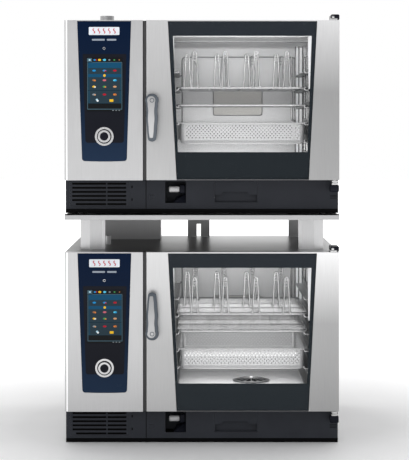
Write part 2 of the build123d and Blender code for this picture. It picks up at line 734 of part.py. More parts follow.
with BuildPart() as stack_frame:
    block((-HALF, HALF), (0, CASING_DEPTH), RAIL_Z)
    block(
        inset((-HALF, HALF), RAIL_WIDTH),
        (POST_DEPTH[1] + 10, CASING_DEPTH - RAIL_WIDTH),
        (RAIL_Z[0] - 1, RAIL_Z[1] + 1),
        Mode.SUBTRACT,
    )
    offset(amount=-SHEET, openings=faces().sort_by(Axis.Z)[0])
    for x in inset((-HALF, HALF), PAD_INSET):
        for depth in (PANEL_DEPTH + PAD_RADIUS + 1, CASING_DEPTH - PAD_RADIUS - 1):
            with BuildSketch(Plane.XY.offset(RAIL_Z[1])):
                with Locations((x, FRONT_Y + depth)):
                    Circle(PAD_RADIUS)
            extrude(amount=DECK_PITCH - RAIL_Z[1])

with BuildPart() as left_front_post:
    with BuildSketch(Plane.XY.offset(STACK_BOTTOM)):
        with BuildLine():
            Polyline(
                (-484, FRONT_Y + POST_DEPTH[1]),
                (-484, FRONT_Y + POST_DEPTH[0] + 28),
                (-446, FRONT_Y + POST_DEPTH[0]),
                (-399, FRONT_Y + POST_DEPTH[0] + 14),
                (-388, FRONT_Y + POST_DEPTH[0] + 14),
                (-388, FRONT_Y + POST_DEPTH[1]),
            )
        trace(line_width=POST_WALL)
    extrude(amount=POST_TOP - STACK_BOTTOM)

with BuildPart() as stack_front_posts:
    add(left_front_post.part)
    mirror(about=Plane.YZ)

with BuildPart() as stack_rear_posts:
    front, back = REAR_POST_DEPTH
    for x in REAR_POSTS:
        block(x, (front, front + POST_WALL), (STACK_BOTTOM, POST_TOP))
        for edge in (x[0], x[1] - POST_WALL):
            block((edge, edge + POST_WALL), (front, back), (STACK_BOTTOM, POST_TOP))
    block(POST_SLOT, (front - 5, front + 5), (STACK_BOTTOM - 1, POST_SLOT_TOP), Mode.SUBTRACT)

with BuildPart() as exhaust_duct:
    block(DUCT_X, DUCT_DEPTH, (STACK_BOTTOM, RAIL_Z[1]))
    block(
        inset(DUCT_X, SHEET), inset(DUCT_DEPTH, SHEET), (STACK_BOTTOM - 1, RAIL_Z[1] + 1), Mode.SUBTRACT
    )

# ---- export ------------------------------------------------------------------------------------
PER_DECK = {
    "side_panels": side_panels,
    "top_panel": top_panel,
    "base_frame": base_frame,
    "fascia": fascia,
    "control_panel": control_panel,
    "dial_shaft": dial_shaft,
    "dial": dial,
    "lower_panel": lower_panel,
    "filter_grille": filter_grille,
    "usb_flap": usb_flap,
    "hand_shower": hand_shower,
    "care_drawer": care_drawer,
    "chamber": chamber,
    "door_frame": door_frame,
    "door_back": door_back,
    "door_outer_glass": door_outer_glass,
    "door_inner_glass": door_inner_glass,
    "fan_wheel": fan_wheel,
}
for name, piece in PER_DECK.items():
    for deck, z in DECKS.items():
        export(f"{deck}_{name}", piece.part.moved(Location((0, 0, z))))

for deck, toward in HANDLES_POINT.items():
    export(f"{deck}_door_handle", lever(toward).moved(Location((0, 0, DECKS[deck]))))

FIXED_PAIRS = {
    "rear_panels": rear_panel,
    "touch_screens": touch_screen,
    "dial_surrounds": dial_surround,
    "door_hinges": hinge_set,
    "door_latches": latch,
    "door_gaskets": door_gasket,
    "air_baffles": air_baffle,
    "heater_coils": heater_coil,
    "fan_motors": fan_motor,
    "drain_strainers": drain_strainer,
    "hanging_racks": hanging_rack,
    "grid_shelves": grid_shelf,
    "spike_racks": spike_rack,
    "gn_containers": gn_container,
    "control_boards": control_boards,
    "steam_generators": steam_generator,
    "rear_connections": rear_connection,
}
for name, piece in FIXED_PAIRS.items():
    with BuildPart() as pair:
        with Locations(*DECK_PLACES):
            add(piece.part)
    export(name, pair.part)

STACKING_KIT = {
    "vent_pipes": vent_pipes,
    "stack_frame": stack_frame,
    "stack_front_posts": stack_front_posts,
    "stack_rear_posts": stack_rear_posts,
    "exhaust_duct": exhaust_duct,
}
for name, piece in STACKING_KIT.items():
    export(name, piece.part)
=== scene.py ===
"""Looks for the stacked pair of combi steamer ovens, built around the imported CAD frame.

Lengths are written in millimetres in the ovens' own terms: x to the right, depth back from the front
face of the doors, and z up from the foot of each oven. Functions turn them into metres in the frame.
Lights, the camera and the distances in shaders are in metres.
"""

import math

import bmesh
import bpy
from mathutils import Matrix, Vector


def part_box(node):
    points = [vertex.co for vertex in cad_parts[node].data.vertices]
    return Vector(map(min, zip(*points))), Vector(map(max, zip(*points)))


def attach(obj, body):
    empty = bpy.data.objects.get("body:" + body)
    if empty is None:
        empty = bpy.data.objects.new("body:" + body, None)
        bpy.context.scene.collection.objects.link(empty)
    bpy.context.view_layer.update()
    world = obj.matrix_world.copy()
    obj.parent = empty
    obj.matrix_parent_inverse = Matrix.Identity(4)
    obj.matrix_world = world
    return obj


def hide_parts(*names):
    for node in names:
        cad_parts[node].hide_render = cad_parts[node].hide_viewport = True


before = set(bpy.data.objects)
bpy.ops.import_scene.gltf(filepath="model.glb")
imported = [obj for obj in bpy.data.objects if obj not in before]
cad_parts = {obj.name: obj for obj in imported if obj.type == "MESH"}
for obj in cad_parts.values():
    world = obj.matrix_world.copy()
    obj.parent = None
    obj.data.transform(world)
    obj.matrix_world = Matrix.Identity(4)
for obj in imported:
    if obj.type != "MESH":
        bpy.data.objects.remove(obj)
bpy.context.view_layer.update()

MM = 0.001
WELD = 0.00001
ROOT = "ovens"
FRONT_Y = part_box("lower_door_frame")[0].y
DECKS = {deck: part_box(f"{deck}_base_frame")[0].z for deck in ("lower", "upper")}

# door and operating panel; the edges of the glass are (left, right, height)
GLASS_TOP = (-132.7, 448.7, 749.6)
GLASS_BOTTOM = (-99.1, 417.2, 134.4)
CLEAR_TOP = (-112.8, 428, 693)
CLEAR_BOTTOM = (-93.3, 411.5, 240)
WINDOW_X = (-120, 436)
WINDOW_Z = (200, 705)
DIAL = (-380.5, 301.5)
DIAL_HOLE = 6
POWER_BUTTON = (-381, 644)
HUB = (-193, 441.5)
LEVER_UP = {"lower": 1, "upper": -1}

# chamber
CHAMBER_X = (-138, 455)
TRAY_X = (-104, 426)
TRAY_DEPTH = (175, 825)
TRAY_LEVELS = [217 + 69 * i for i in range(6)]
CONTAINER_LEVEL = TRAY_LEVELS[2]
CONTAINER_HEIGHT = 86
GRID_LEVEL = TRAY_LEVELS[3]
SPIKE_LEVEL = TRAY_LEVELS[4]
SPIKE_TOP = 638
SPIKE_ROWS = ((195, -29), (455, -60), (715, -29))
SPIKE_PITCH = 123
RACK_X = (-132, 448)
STRAINER = (207, 520)

# service panel
SERVICE_DEPTH = 57
SHOWER_X = (-144, -62.8)
SHOWER_Z = 92.5
RECESS_Z = (39, 124)
HINGE_X = 518


# ---- places and meshes -------------------------------------------------------------------------
def place(x, depth, z, deck):
    """Turn millimetres in an oven's own terms into metres in the frame."""
    return Vector((x * MM, FRONT_Y + depth * MM, z * MM + DECKS[deck]))


def add_piece(name, mesh, material, body, smooth=35):
    """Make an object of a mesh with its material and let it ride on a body."""
    mesh.materials.append(material)
    mesh.shade_smooth()
    mesh.set_sharp_from_angle(angle=math.radians(smooth))
    piece = bpy.data.objects.new(name, mesh)
    bpy.context.scene.collection.objects.link(piece)
    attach(piece, body)
    return piece


def mesh_of_curve(name, curve):
    """Turn a curve with thickness into a plain mesh."""
    holder = bpy.data.objects.new(name, curve)
    bpy.context.scene.collection.objects.link(holder)
    graph = bpy.context.evaluated_depsgraph_get()
    mesh = bpy.data.meshes.new_from_object(holder.evaluated_get(graph))
    bpy.data.objects.remove(holder)
    bpy.data.curves.remove(curve)
    mesh.name = name
    return mesh


def mesh_of(name, bm):
    """Turn a finished bmesh into a mesh with outward normals."""
    bmesh.ops.recalc_face_normals(bm, faces=bm.faces)
    mesh = bpy.data.meshes.new(name)
    bm.to_mesh(mesh)
    bm.free()
    return mesh


def rounded(points, radius, closed=True, steps=6):
    """Round the corners of a polygon or path; radius is one number or one for each point."""
    nearly_straight = math.radians(89)
    radii = radius if isinstance(radius, (list, tuple)) else [radius] * len(points)
    points = [Vector(p) for p in points]
    path = []
    for i, corner in enumerate(points):
        ends = not closed and i in (0, len(points) - 1)
        if ends or radii[i] == 0:
            path.append(corner)
            continue
        before = (points[i - 1] - corner).normalized()
        after = (points[(i + 1) % len(points)] - corner).normalized()
        half = before.angle(after) / 2
        if half > nearly_straight:
            path.append(corner)
            continue
        reach = radii[i] / math.tan(half)
        centre = corner + (before + after).normalized() * (radii[i] / math.sin(half))
        start = corner + before * reach - centre
        end = corner + after * reach - centre
        sweep = start.angle(end)
        for step in range(steps + 1):
            share = step / steps
            weight = math.sin((1 - share) * sweep), math.sin(share * sweep)
            path.append(centre + (start * weight[0] + end * weight[1]) / math.sin(sweep))
    return path


def rectangle(x, z, radius=0):
    """Outline of an upright rectangle between two (low, high) pairs, with rounded corners."""
    corners = [(x[0], z[0]), (x[1], z[0]), (x[1], z[1]), (x[0], z[1])]
    return rounded(corners, radius) if radius else [Vector(c) for c in corners]


def turns_of(steps):
    """Equal steps of one turn, in radians."""
    return [2 * math.pi * i / steps for i in range(steps)]


def ellipse(centre, width, height, steps=20):
    """Outline of an upright ellipse."""
    outline = []
    for turn in turns_of(steps):
        x, y = width / 2 * math.cos(turn), height / 2 * math.sin(turn)
        outline.append(Vector((centre[0] + x, centre[1] + y)))
    return outline


def circle(centre, radius, steps=48):
    """Outline of a circle."""
    return ellipse(centre, 2 * radius, 2 * radius, steps)


def cut_sheet(name, outlines, thickness, bevel=0.0):
    """A flat sheet in the XY plane, cut to closed outlines: the first is its edge, the others are holes."""
    curve = bpy.data.curves.new(name, "CURVE")
    curve.dimensions = "2D"
    curve.fill_mode = "BOTH"
    for outline in outlines:
        spline = curve.splines.new("POLY")
        spline.points.add(len(outline) - 1)
        for point, corner in zip(spline.points, outline):
            point.co = (corner[0] * MM, corner[1] * MM, 0, 1)
        spline.use_cyclic_u = True
    curve.extrude = (thickness / 2 - bevel) * MM
    curve.bevel_depth = bevel * MM
    curve.bevel_resolution = 3
    curve.offset = -bevel * MM
    return mesh_of_curve(name, curve)


def upright(mesh, depth, deck):
    """Stand a flat sheet up, facing the front, with its middle at a depth."""
    turn = Matrix(((1, 0, 0, 0), (0, 0, -1, 0), (0, 1, 0, 0), (0, 0, 0, 1)))
    mesh.transform(Matrix.Translation(place(0, depth, 0, deck)) @ turn)
    return mesh


def lying(mesh, z, deck):
    """Lay a flat sheet, drawn in x and depth, at a height."""
    mesh.transform(Matrix.Translation(place(0, 0, z, deck)))
    return mesh


def plate(name, outlines, depth, material, body, deck, bevel=0.0):
    """Place an upright plate between a (front, back) pair of depths."""
    mesh = cut_sheet(name, outlines, depth[1] - depth[0], bevel)
    return add_piece(name, upright(mesh, sum(depth) / 2, deck), material, body)


def wires_mesh(name, paths, radius, deck, closed=False, sides=3):
    """Round wires along paths of (x, depth, z) points, as one mesh; sides is the curve's bevel resolution."""
    curve = bpy.data.curves.new(name, "CURVE")
    curve.dimensions = "3D"
    for path in paths:
        spline = curve.splines.new("POLY")
        spline.points.add(len(path) - 1)
        for point, corner in zip(spline.points, path):
            point.co = (*place(*corner, deck), 1)
        spline.use_cyclic_u = closed
    curve.bevel_depth = radius * MM
    curve.bevel_resolution = sides
    curve.use_fill_caps = not closed
    return mesh_of_curve(name, curve)


def join_meshes(name, *meshes):
    """Put several meshes into one."""
    bm = bmesh.new()
    for mesh in meshes:
        bm.from_mesh(mesh)
        bpy.data.meshes.remove(mesh)
    joined = bpy.data.meshes.new(name)
    bm.to_mesh(joined)
    bm.free()
    return joined


def add_block(bm, x, depth, z, deck, bevel=0.0):
    """Add a box with rounded edges to a bmesh."""
    low, high = place(x[0], depth[0], z[0], deck), place(x[1], depth[1], z[1], deck)
    made = bmesh.ops.create_cube(bm, size=1)
    bmesh.ops.scale(bm, vec=high - low, verts=made["verts"])
    bmesh.ops.translate(bm, vec=(low + high) / 2, verts=made["verts"])
    if bevel:
        edges = {edge for vert in made["verts"] for edge in vert.link_edges}
        bmesh.ops.bevel(bm, geom=list(edges), offset=bevel * MM, segments=3, profile=0.5, affect="EDGES")


def blocks(name, boxes, material, body, deck, bevel=1.0):
    """A piece of one or more boxes with rounded edges, each (x, depth, z)."""
    bm = bmesh.new()
    for box in boxes:
        add_block(bm, *box, deck, bevel)
    return add_piece(name, mesh_of(name, bm), material, body)


def spun(name, profile, x, depth, deck, steps=40):
    """Turn a profile of (radius, z) points round an upright axis."""
    bm = bmesh.new()
    rings = []
    for radius, z in profile:
        outline = [(x + radius * math.cos(a), depth + radius * math.sin(a)) for a in turns_of(steps)]
        rings.append([bm.verts.new(place(*point, z, deck)) for point in outline])
    for lower, upper in zip(rings, rings[1:]):
        for i in range(steps):
            j = (i + 1) % steps
            bm.faces.new((lower[i], lower[j], upper[j], upper[i]))
    for ring in (rings[0], rings[-1]):
        bm.faces.new(ring)
    return mesh_of(name, bm)


def folded(name, profiles, thickness, deck):
    """Folded sheet metal: each profile is a pair of matching edges of (x, depth, z) points."""
    bm = bmesh.new()
    for edges in profiles:
        near, far = [[bm.verts.new(place(*point, deck)) for point in edge] for edge in edges]
        for i in range(len(near) - 1):
            bm.faces.new((near[i], near[i + 1], far[i + 1], far[i]))
    bmesh.ops.recalc_face_normals(bm, faces=bm.faces)
    bmesh.ops.solidify(bm, geom=bm.faces[:], thickness=thickness * MM)
    return mesh_of(name, bm)


# ---- materials ---------------------------------------------------------------------------------
class Shader:
    """A small helper around one material's nodes."""

    def __init__(self, name):
        self.material = bpy.data.materials.new(name)
        self.material.use_nodes = True
        self.nodes = self.material.node_tree.nodes
        self.links = self.material.node_tree.links
        self.surface = self.nodes["Principled BSDF"]

    def node(self, kind, **values):
        made = self.nodes.new(kind)
        for key, value in values.items():
            if key in made.inputs:
                made.inputs[key].default_value = value
            else:
                setattr(made, key, value)
        return made

    def set(self, **values):
        for key, value in values.items():
            self.surface.inputs[key.replace("_", " ")].default_value = value

    def grain(self, scale, stretch=(1, 1, 1), detail=4):
        """Noise in the object's own coordinates, in cycles per metre, stretched along an axis."""
        where = self.node("ShaderNodeTexCoord")
        mapping = self.node("ShaderNodeMapping", Scale=stretch)
        noise = self.node("ShaderNodeTexNoise", Scale=scale, Detail=detail)
        self.links.new(where.outputs["Object"], mapping.inputs["Vector"])
        self.links.new(mapping.outputs["Vector"], noise.inputs["Vector"])
        return noise.outputs["Fac"]

    def along(self, axis, low, high):
        """0 to 1 between two places on an axis, in metres."""
        where = self.node("ShaderNodeTexCoord")
        split = self.node("ShaderNodeSeparateXYZ")
        span = self.node("ShaderNodeMapRange")
        span.inputs["From Min"].default_value = low
        span.inputs["From Max"].default_value = high
        self.links.new(where.outputs["Object"], split.inputs["Vector"])
        self.links.new(split.outputs[axis], span.inputs["Value"])
        return span.outputs["Result"]

    def ramp(self, factor, stops):
        """Colours along a factor; stops is a list of (place, (r, g, b))."""
        ramp = self.node("ShaderNodeValToRGB")
        while len(ramp.color_ramp.elements) < len(stops):
            ramp.color_ramp.elements.new(0.5)
        for element, (where, colour) in zip(ramp.color_ramp.elements, stops):
            element.position = where
            element.color = (*colour, 1)
        self.links.new(factor, ramp.inputs["Fac"])
        return ramp.outputs["Color"]

    def spread(self, factor, low, high):
        """Map a 0 to 1 factor between two numbers."""
        span = self.node("ShaderNodeMapRange")
        span.inputs["To Min"].default_value = low
        span.inputs["To Max"].default_value = high
        self.links.new(factor, span.inputs["Value"])
        return span.outputs["Result"]

    def bump(self, factor, distance, strength=0.3):
        bump = self.node("ShaderNodeBump", Strength=strength, Distance=distance)
        self.links.new(factor, bump.inputs["Height"])
        self.links.new(bump.outputs["Normal"], self.surface.inputs["Normal"])

    def feed(self, output, socket):
        self.links.new(output, self.surface.inputs[socket])


def grey(value, tint=(1, 1, 1)):
    """A grey of a linear value, slightly tinted."""
    return tuple(value * t for t in tint)


BRUSH_CYCLES = 900
BRUSH_STRETCH = {"z": (1, 1, 0.012), "x": (0.012, 1, 1), "y": (1, 0.012, 1)}
BRUSH_DEPTH = 0.00006
BRUSH_STRENGTH = 0.25


def multiplied(shader, first, second):
    """Two colours multiplied."""
    mixed = shader.node("ShaderNodeMix", data_type="RGBA", blend_type="MULTIPLY", Factor=1.0)
    shader.links.new(first, mixed.inputs["A"])
    shader.links.new(second, mixed.inputs["B"])
    return mixed.outputs["Result"]


def brushed_steel(name, tone, roughness=0.34, along="z", metallic=1.0, tint=(1, 1, 1.005), stops=None):
    """Steel with a fine brush along one axis and a soft sheen; stops paint shade and highlight across it from
    left to right.
    """
    shader = Shader(name)
    shader.set(Metallic=metallic)
    brush = shader.grain(BRUSH_CYCLES, BRUSH_STRETCH[along], detail=3)
    blotch = shader.grain(6, detail=2)
    mixed = shader.node("ShaderNodeMix", data_type="FLOAT", Factor=0.35)
    shader.links.new(brush, mixed.inputs["A"])
    shader.links.new(blotch, mixed.inputs["B"])
    both = mixed.outputs["Result"]
    dark, light, sheen = 0.93, 1.06, 0.06
    tones = shader.ramp(both, [(0.3, grey(tone * dark, tint)), (0.7, grey(tone * light, tint))])
    if stops:
        # painted shade and highlight: the stops darken and brighten the steel across x
        tones = multiplied(shader, tones, shader.ramp(shader.along("X", -0.5, 0.5), stops))
    shader.feed(tones, "Base Color")
    shader.feed(shader.spread(both, roughness - sheen, roughness + sheen), "Roughness")
    shader.bump(brush, BRUSH_DEPTH, BRUSH_STRENGTH)
    return shader.material


def moulded_plastic(name, colour, roughness=0.42, specular=0.5, grain=1400):
    """Dark moulded plastic or powder coat with a fine grain."""
    shader = Shader(name)
    shader.set(Specular_IOR_Level=specular)
    noise = shader.grain(grain, detail=2)
    smudge = shader.grain(9, detail=3)
    shader.feed(shader.ramp(smudge, [(0.3, grey(0.92, colour)), (0.75, grey(1.1, colour))]), "Base Color")
    shader.feed(shader.spread(smudge, roughness - 0.05, roughness + 0.07), "Roughness")
    shader.bump(noise, 0.00005, 0.35)
    return shader.material


def polished_wire(name, tone=0.78):
    """Bright electropolished wire, slightly uneven."""
    shader = Shader(name)
    shader.set(Metallic=1.0)
    noise = shader.grain(60, detail=3)
    shader.feed(shader.ramp(noise, [(0.3, grey(tone * 0.9)), (0.7, grey(tone * 1.05))]), "Base Color")
    shader.feed(shader.spread(noise, 0.14, 0.26), "Roughness")
    return shader.material


def window_glass(name, colour, alpha):
    """Thin glass that lets the view through: a faint tint, a soft reflection and faint smears."""
    shader = Shader(name)
    shader.set(Base_Color=(*colour, 1), Alpha=alpha, Specular_IOR_Level=0.07)
    smear = shader.grain(14, detail=3)
    shader.feed(shader.spread(smear, 0.02, 0.07), "Roughness")
    return shader.material


def painted_light_steel(name, left, right, deck, roughness=0.36):
    """Brushed front steel with painted shade and highlight: its colour changes with height, from one ramp on
    its left side to another on its right side.
    """
    shader = Shader(name)
    shader.set(Metallic=1.0)
    brush = shader.grain(BRUSH_CYCLES, BRUSH_STRETCH["z"], detail=3)
    low, high = DECKS[deck] + 0.13, DECKS[deck] + 0.754
    left_end, right_end = -0.17, 0.48
    height = shader.along("Z", low, high)
    sides = shader.node("ShaderNodeMix", data_type="RGBA")
    across = shader.along("X", left_end, right_end)
    shader.links.new(across, sides.inputs["Factor"])
    shader.links.new(shader.ramp(height, left), sides.inputs["A"])
    shader.links.new(shader.ramp(height, right), sides.inputs["B"])
    streaks = shader.ramp(brush, [(0.3, grey(0.95)), (0.7, grey(1.05))])
    shader.feed(multiplied(shader, sides.outputs["Result"], streaks), "Base Color")
    shader.feed(shader.spread(brush, roughness - 0.05, roughness + 0.05), "Roughness")
    shader.bump(brush, BRUSH_DEPTH, BRUSH_STRENGTH)
    return shader.material


def white_light(name, strength):
    """A white surface that glows, slightly uneven: a lit diffuser on the light strip, and painted light on
    parts that are no lamp.
    """
    shader = Shader(name)
    noise = shader.grain(40, detail=2)
    glow = shader.ramp(noise, [(0.3, (0.93, 0.95, 0.97)), (0.7, (1, 1, 1))])
    shader.set(Roughness=0.4, Emission_Strength=strength)
    shader.feed(glow, "Base Color")
    shader.feed(glow, "Emission Color")
    return shader.material


def gradient_gloss(name, stops, low, high, roughness=0.25, specular=0.04):
    """Gloss surface with a vertical colour gradient between two heights in metres; on the door borders the
    gradient is painted shade and light.
    """
    shader = Shader(name)
    shader.set(Specular_IOR_Level=specular)
    shader.feed(shader.ramp(shader.along("Z", low, high), stops), "Base Color")
    smear = shader.grain(20, detail=3)
    shader.feed(shader.spread(smear, roughness - 0.04, roughness + 0.05), "Roughness")
    return shader.material


def lit_colours(name, strength):
    """A lit display: the colour comes from each piece's own colour attribute."""
    shader = Shader(name)
    colours = shader.node("ShaderNodeVertexColor", layer_name="Ink")
    shader.set(Roughness=0.3, Specular_IOR_Level=0.1, Emission_Strength=strength)
    shader.feed(colours.outputs["Color"], "Base Color")
    shader.feed(colours.outputs["Color"], "Emission Color")
    return shader.material


# tone, roughness, brush axis and metallic
STEELS = {
    "front": (0.50, 0.36, "z"),
    # painted highlight: very light steel for the fascia's bevel
    "bright": (0.92, 0.30, "z"),
    "casing": (0.50, 0.33, "y"),
    "stack": (0.42, 0.38, "x"),
    "post": (0.53, 0.38, "z"),
    "chamber": (0.72, 0.32, "x", 0.4),
    "lining": (0.82, 0.38, "x", 0.3),
    "cover": (0.66, 0.34, "z", 0.4),
    "beige": (0.68, 0.45, "x", 0.2, (1.02, 1, 0.95)),
    "tray": (0.46, 0.36, "x", 0.4),
    # painted shade and light: the container's rear wall, seen through its holes, is light in the lower oven
    # and dark in the upper one
    "inside_lower": (0.52, 0.36, "x", 0.3),
    "inside_upper": (0.10, 0.36, "x", 0.3),
    "rail": (0.20, 0.3, "y"),
    "duct": (0.36, 0.4, "z"),
    # painted shade: the strip in the door gap is made very dark
    "gap": (0.055, 0.4, "z", 0.6),
    "coil": (0.12, 0.45, "x"),
    "ring": (0.50, 0.26, "x"),
    "insert": (0.40, 0.32, "z"),
}
MATERIAL_NAMES = {
    "inside_lower": "inside_lower", "inside_upper": "inside_upper", "coil": "dark_coil", "ring": "ring_metal",
    "insert": "insert_steel",
}
steel = {
    name: brushed_steel(MATERIAL_NAMES.get(name, f"steel_{name}"), *values) for name, values in STEELS.items()
}
chrome = polished_wire("chrome", 0.55)
wire = polished_wire("wire", 0.42)
ring_metal = brushed_steel("ring_metal", 0.50, 0.26, "x")
skirt_coat = moulded_plastic("skirt_coat", (0.003, 0.003, 0.0035), 0.55, 0.05)
black_gloss = moulded_plastic("black_gloss", (0.009, 0.010, 0.015), 0.22, 0.06, grain=300)
black_rubber = moulded_plastic("black_rubber", (0.010, 0.010, 0.011), 0.65, 0.2)
# near-black; on the sump and the panel's slits it is painted shade
black_void = moulded_plastic("black_void", (0.002, 0.002, 0.002), 0.8, 0.1)
lever_plastic = moulded_plastic("lever_plastic", (0.085, 0.100, 0.118), 0.32, 0.4)
board_green = moulded_plastic("board_green", (0.01, 0.08, 0.04), 0.5)
motor_grey = moulded_plastic("motor_grey", (0.06, 0.06, 0.065), 0.55)
outer_glass = window_glass("outer_glass", (0.02, 0.025, 0.03), 0.06)
clear_glass = window_glass("clear_glass", (0.5, 0.53, 0.55), 0.03)
# led_white also paints a glow on the window's pale edge, which is no lamp
led_white = white_light("led_white", 0.15)
# painted light: a glow for the rear corner strips, which are no lamp
corner_painted_glow = white_light("corner_painted_glow", 0.35)
badge_white = moulded_plastic("badge_white", (0.74, 0.78, 0.84), 0.3)
mark_grey = moulded_plastic("mark_grey", (0.26, 0.30, 0.36), 0.35)
badge_red = moulded_plastic("badge_red", (0.55, 0.02, 0.03), 0.35)
display = lit_colours("display", 0.05)

NAVY_STOPS = [(0.0, (0.015, 0.030, 0.062)), (0.45, (0.006, 0.014, 0.034)), (1.0, (0.002, 0.009, 0.031))]
# painted shade and light on the door print: a different vertical gradient in each oven
BORDER_PAINTED_LIGHT = {
    "lower": [(0.0, (0.029, 0.036, 0.042)), (0.5, (0.023, 0.029, 0.034)), (1.0, (0.027, 0.032, 0.039))],
    "upper": [(0.0, (0.018, 0.023, 0.027)), (0.5, (0.018, 0.023, 0.028)), (1.0, (0.025, 0.030, 0.037))],
}
# painted light: one plastic, lighter on the lower oven and darker on the upper one
SERVICE_PAINTED_LIGHT_TONE = {"lower": (0.035, 0.038, 0.046), "upper": (0.025, 0.027, 0.033)}
navy, border, service_plastic = {}, {}, {}
for deck, z in DECKS.items():
    top = z + 0.75
    navy[deck] = gradient_gloss(f"navy_{deck}", NAVY_STOPS, z + 0.2, top)
    border[deck] = gradient_gloss(f"border_{deck}", BORDER_PAINTED_LIGHT[deck], z + 0.13, top, 0.3)
    service_plastic[deck] = moulded_plastic(f"service_{deck}", SERVICE_PAINTED_LIGHT_TONE[deck], 0.45, 0.1)
# painted reflection and shade on the top panel: dark on the left, brightest right of the middle
TOP_PAINTED_SHEEN = [(0.0, grey(0.07)), (0.3, grey(0.12)), (0.6, grey(0.5)), (1.0, grey(0.42))]
steel["top"] = brushed_steel("steel_top", 1, 0.3, "x", stops=TOP_PAINTED_SHEEN)
# painted shade and highlight on the door wings, from the foot of the door to its top
WING_LEFT_PAINTED_LIGHT = [(0.0, grey(0.46)), (0.4, grey(0.42)), (1.0, grey(0.58))]
WING_RIGHT_PAINTED_LIGHT = [(0.0, grey(0.34)), (0.55, grey(0.34)), (0.85, grey(0.6)), (1.0, grey(0.76))]
door_painted_light_steel = {deck: painted_light_steel(f"door_painted_light_steel_{deck}", WING_LEFT_PAINTED_LIGHT, WING_RIGHT_PAINTED_LIGHT, deck) for deck in DECKS}

DECK_LOOKS = {
    "side_panels": steel["casing"],
    "top_panel": steel["top"],
    "base_frame": skirt_coat,
    "fascia": steel["front"],
    "dial_shaft": black_gloss,
    "dial": steel["ring"],
    "hand_shower": steel["tray"],
    "chamber": steel["chamber"],
    "door_back": steel["chamber"],
    "door_outer_glass": outer_glass,
    "door_inner_glass": clear_glass,
    "fan_wheel": steel["chamber"],
    "door_handle": lever_plastic,
}
SHARED_LOOKS = {
    "rear_panels": steel["casing"],
    "touch_screens": black_gloss,
    "dial_surrounds": steel["ring"],
    "door_hinges": black_gloss,
    "door_latches": steel["duct"],
    "door_gaskets": black_rubber,
    "air_baffles": steel["chamber"],
    "heater_coils": steel["coil"],
    "fan_motors": motor_grey,
    "drain_strainers": steel["duct"],
    "hanging_racks": wire,
    "grid_shelves": wire,
    "spike_racks": wire,
    "gn_containers": steel["tray"],
    "control_boards": board_green,
    "steam_generators": steel["chamber"],
    "rear_connections": black_rubber,
    "vent_pipes": steel["stack"],
    "stack_frame": steel["stack"],
    "stack_front_posts": steel["post"],
    "stack_rear_posts": steel["duct"],
    "exhaust_duct": steel["duct"],
}


def dress(node, material):
    """Give a CAD node its material."""
    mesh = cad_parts[node].data
    mesh.materials.clear()
    mesh.materials.append(material)


for deck in DECKS:
    for part, material in DECK_LOOKS.items():
        dress(f"{deck}_{part}", material)
    dress(f"{deck}_control_panel", navy[deck])
    dress(f"{deck}_door_frame", door_painted_light_steel[deck])
    for part in ("lower_panel", "filter_grille", "usb_flap", "care_drawer"):
        dress(f"{deck}_{part}", service_plastic[deck])
for node, material in SHARED_LOOKS.items():
    dress(node, material)


# ---- operating panel ---------------------------------------------------------------------------
INK = {
    "black": (0.004, 0.005, 0.006),
    "header": (0.004, 0.062, 0.130),
    "field": (0.010, 0.045, 0.075),
    "tile": (0.017, 0.036, 0.050),
    "line": (0.055, 0.105, 0.135),
    "blue": (0.01, 0.24, 0.55),
    "cyan": (0.08, 0.50, 0.72),
    "pale": (0.40, 0.62, 0.72),
    "red": (0.42, 0.006, 0.02),
    "yellow": (0.78, 0.46, 0.02),
    "orange": (0.66, 0.19, 0.03),
    "brown": (0.32, 0.13, 0.05),
    "pink": (0.55, 0.12, 0.16),
    "green": (0.05, 0.28, 0.08),
    "tan": (0.58, 0.30, 0.15),
    "white": (0.75, 0.78, 0.80),
    "grey": (0.22, 0.25, 0.27),
}


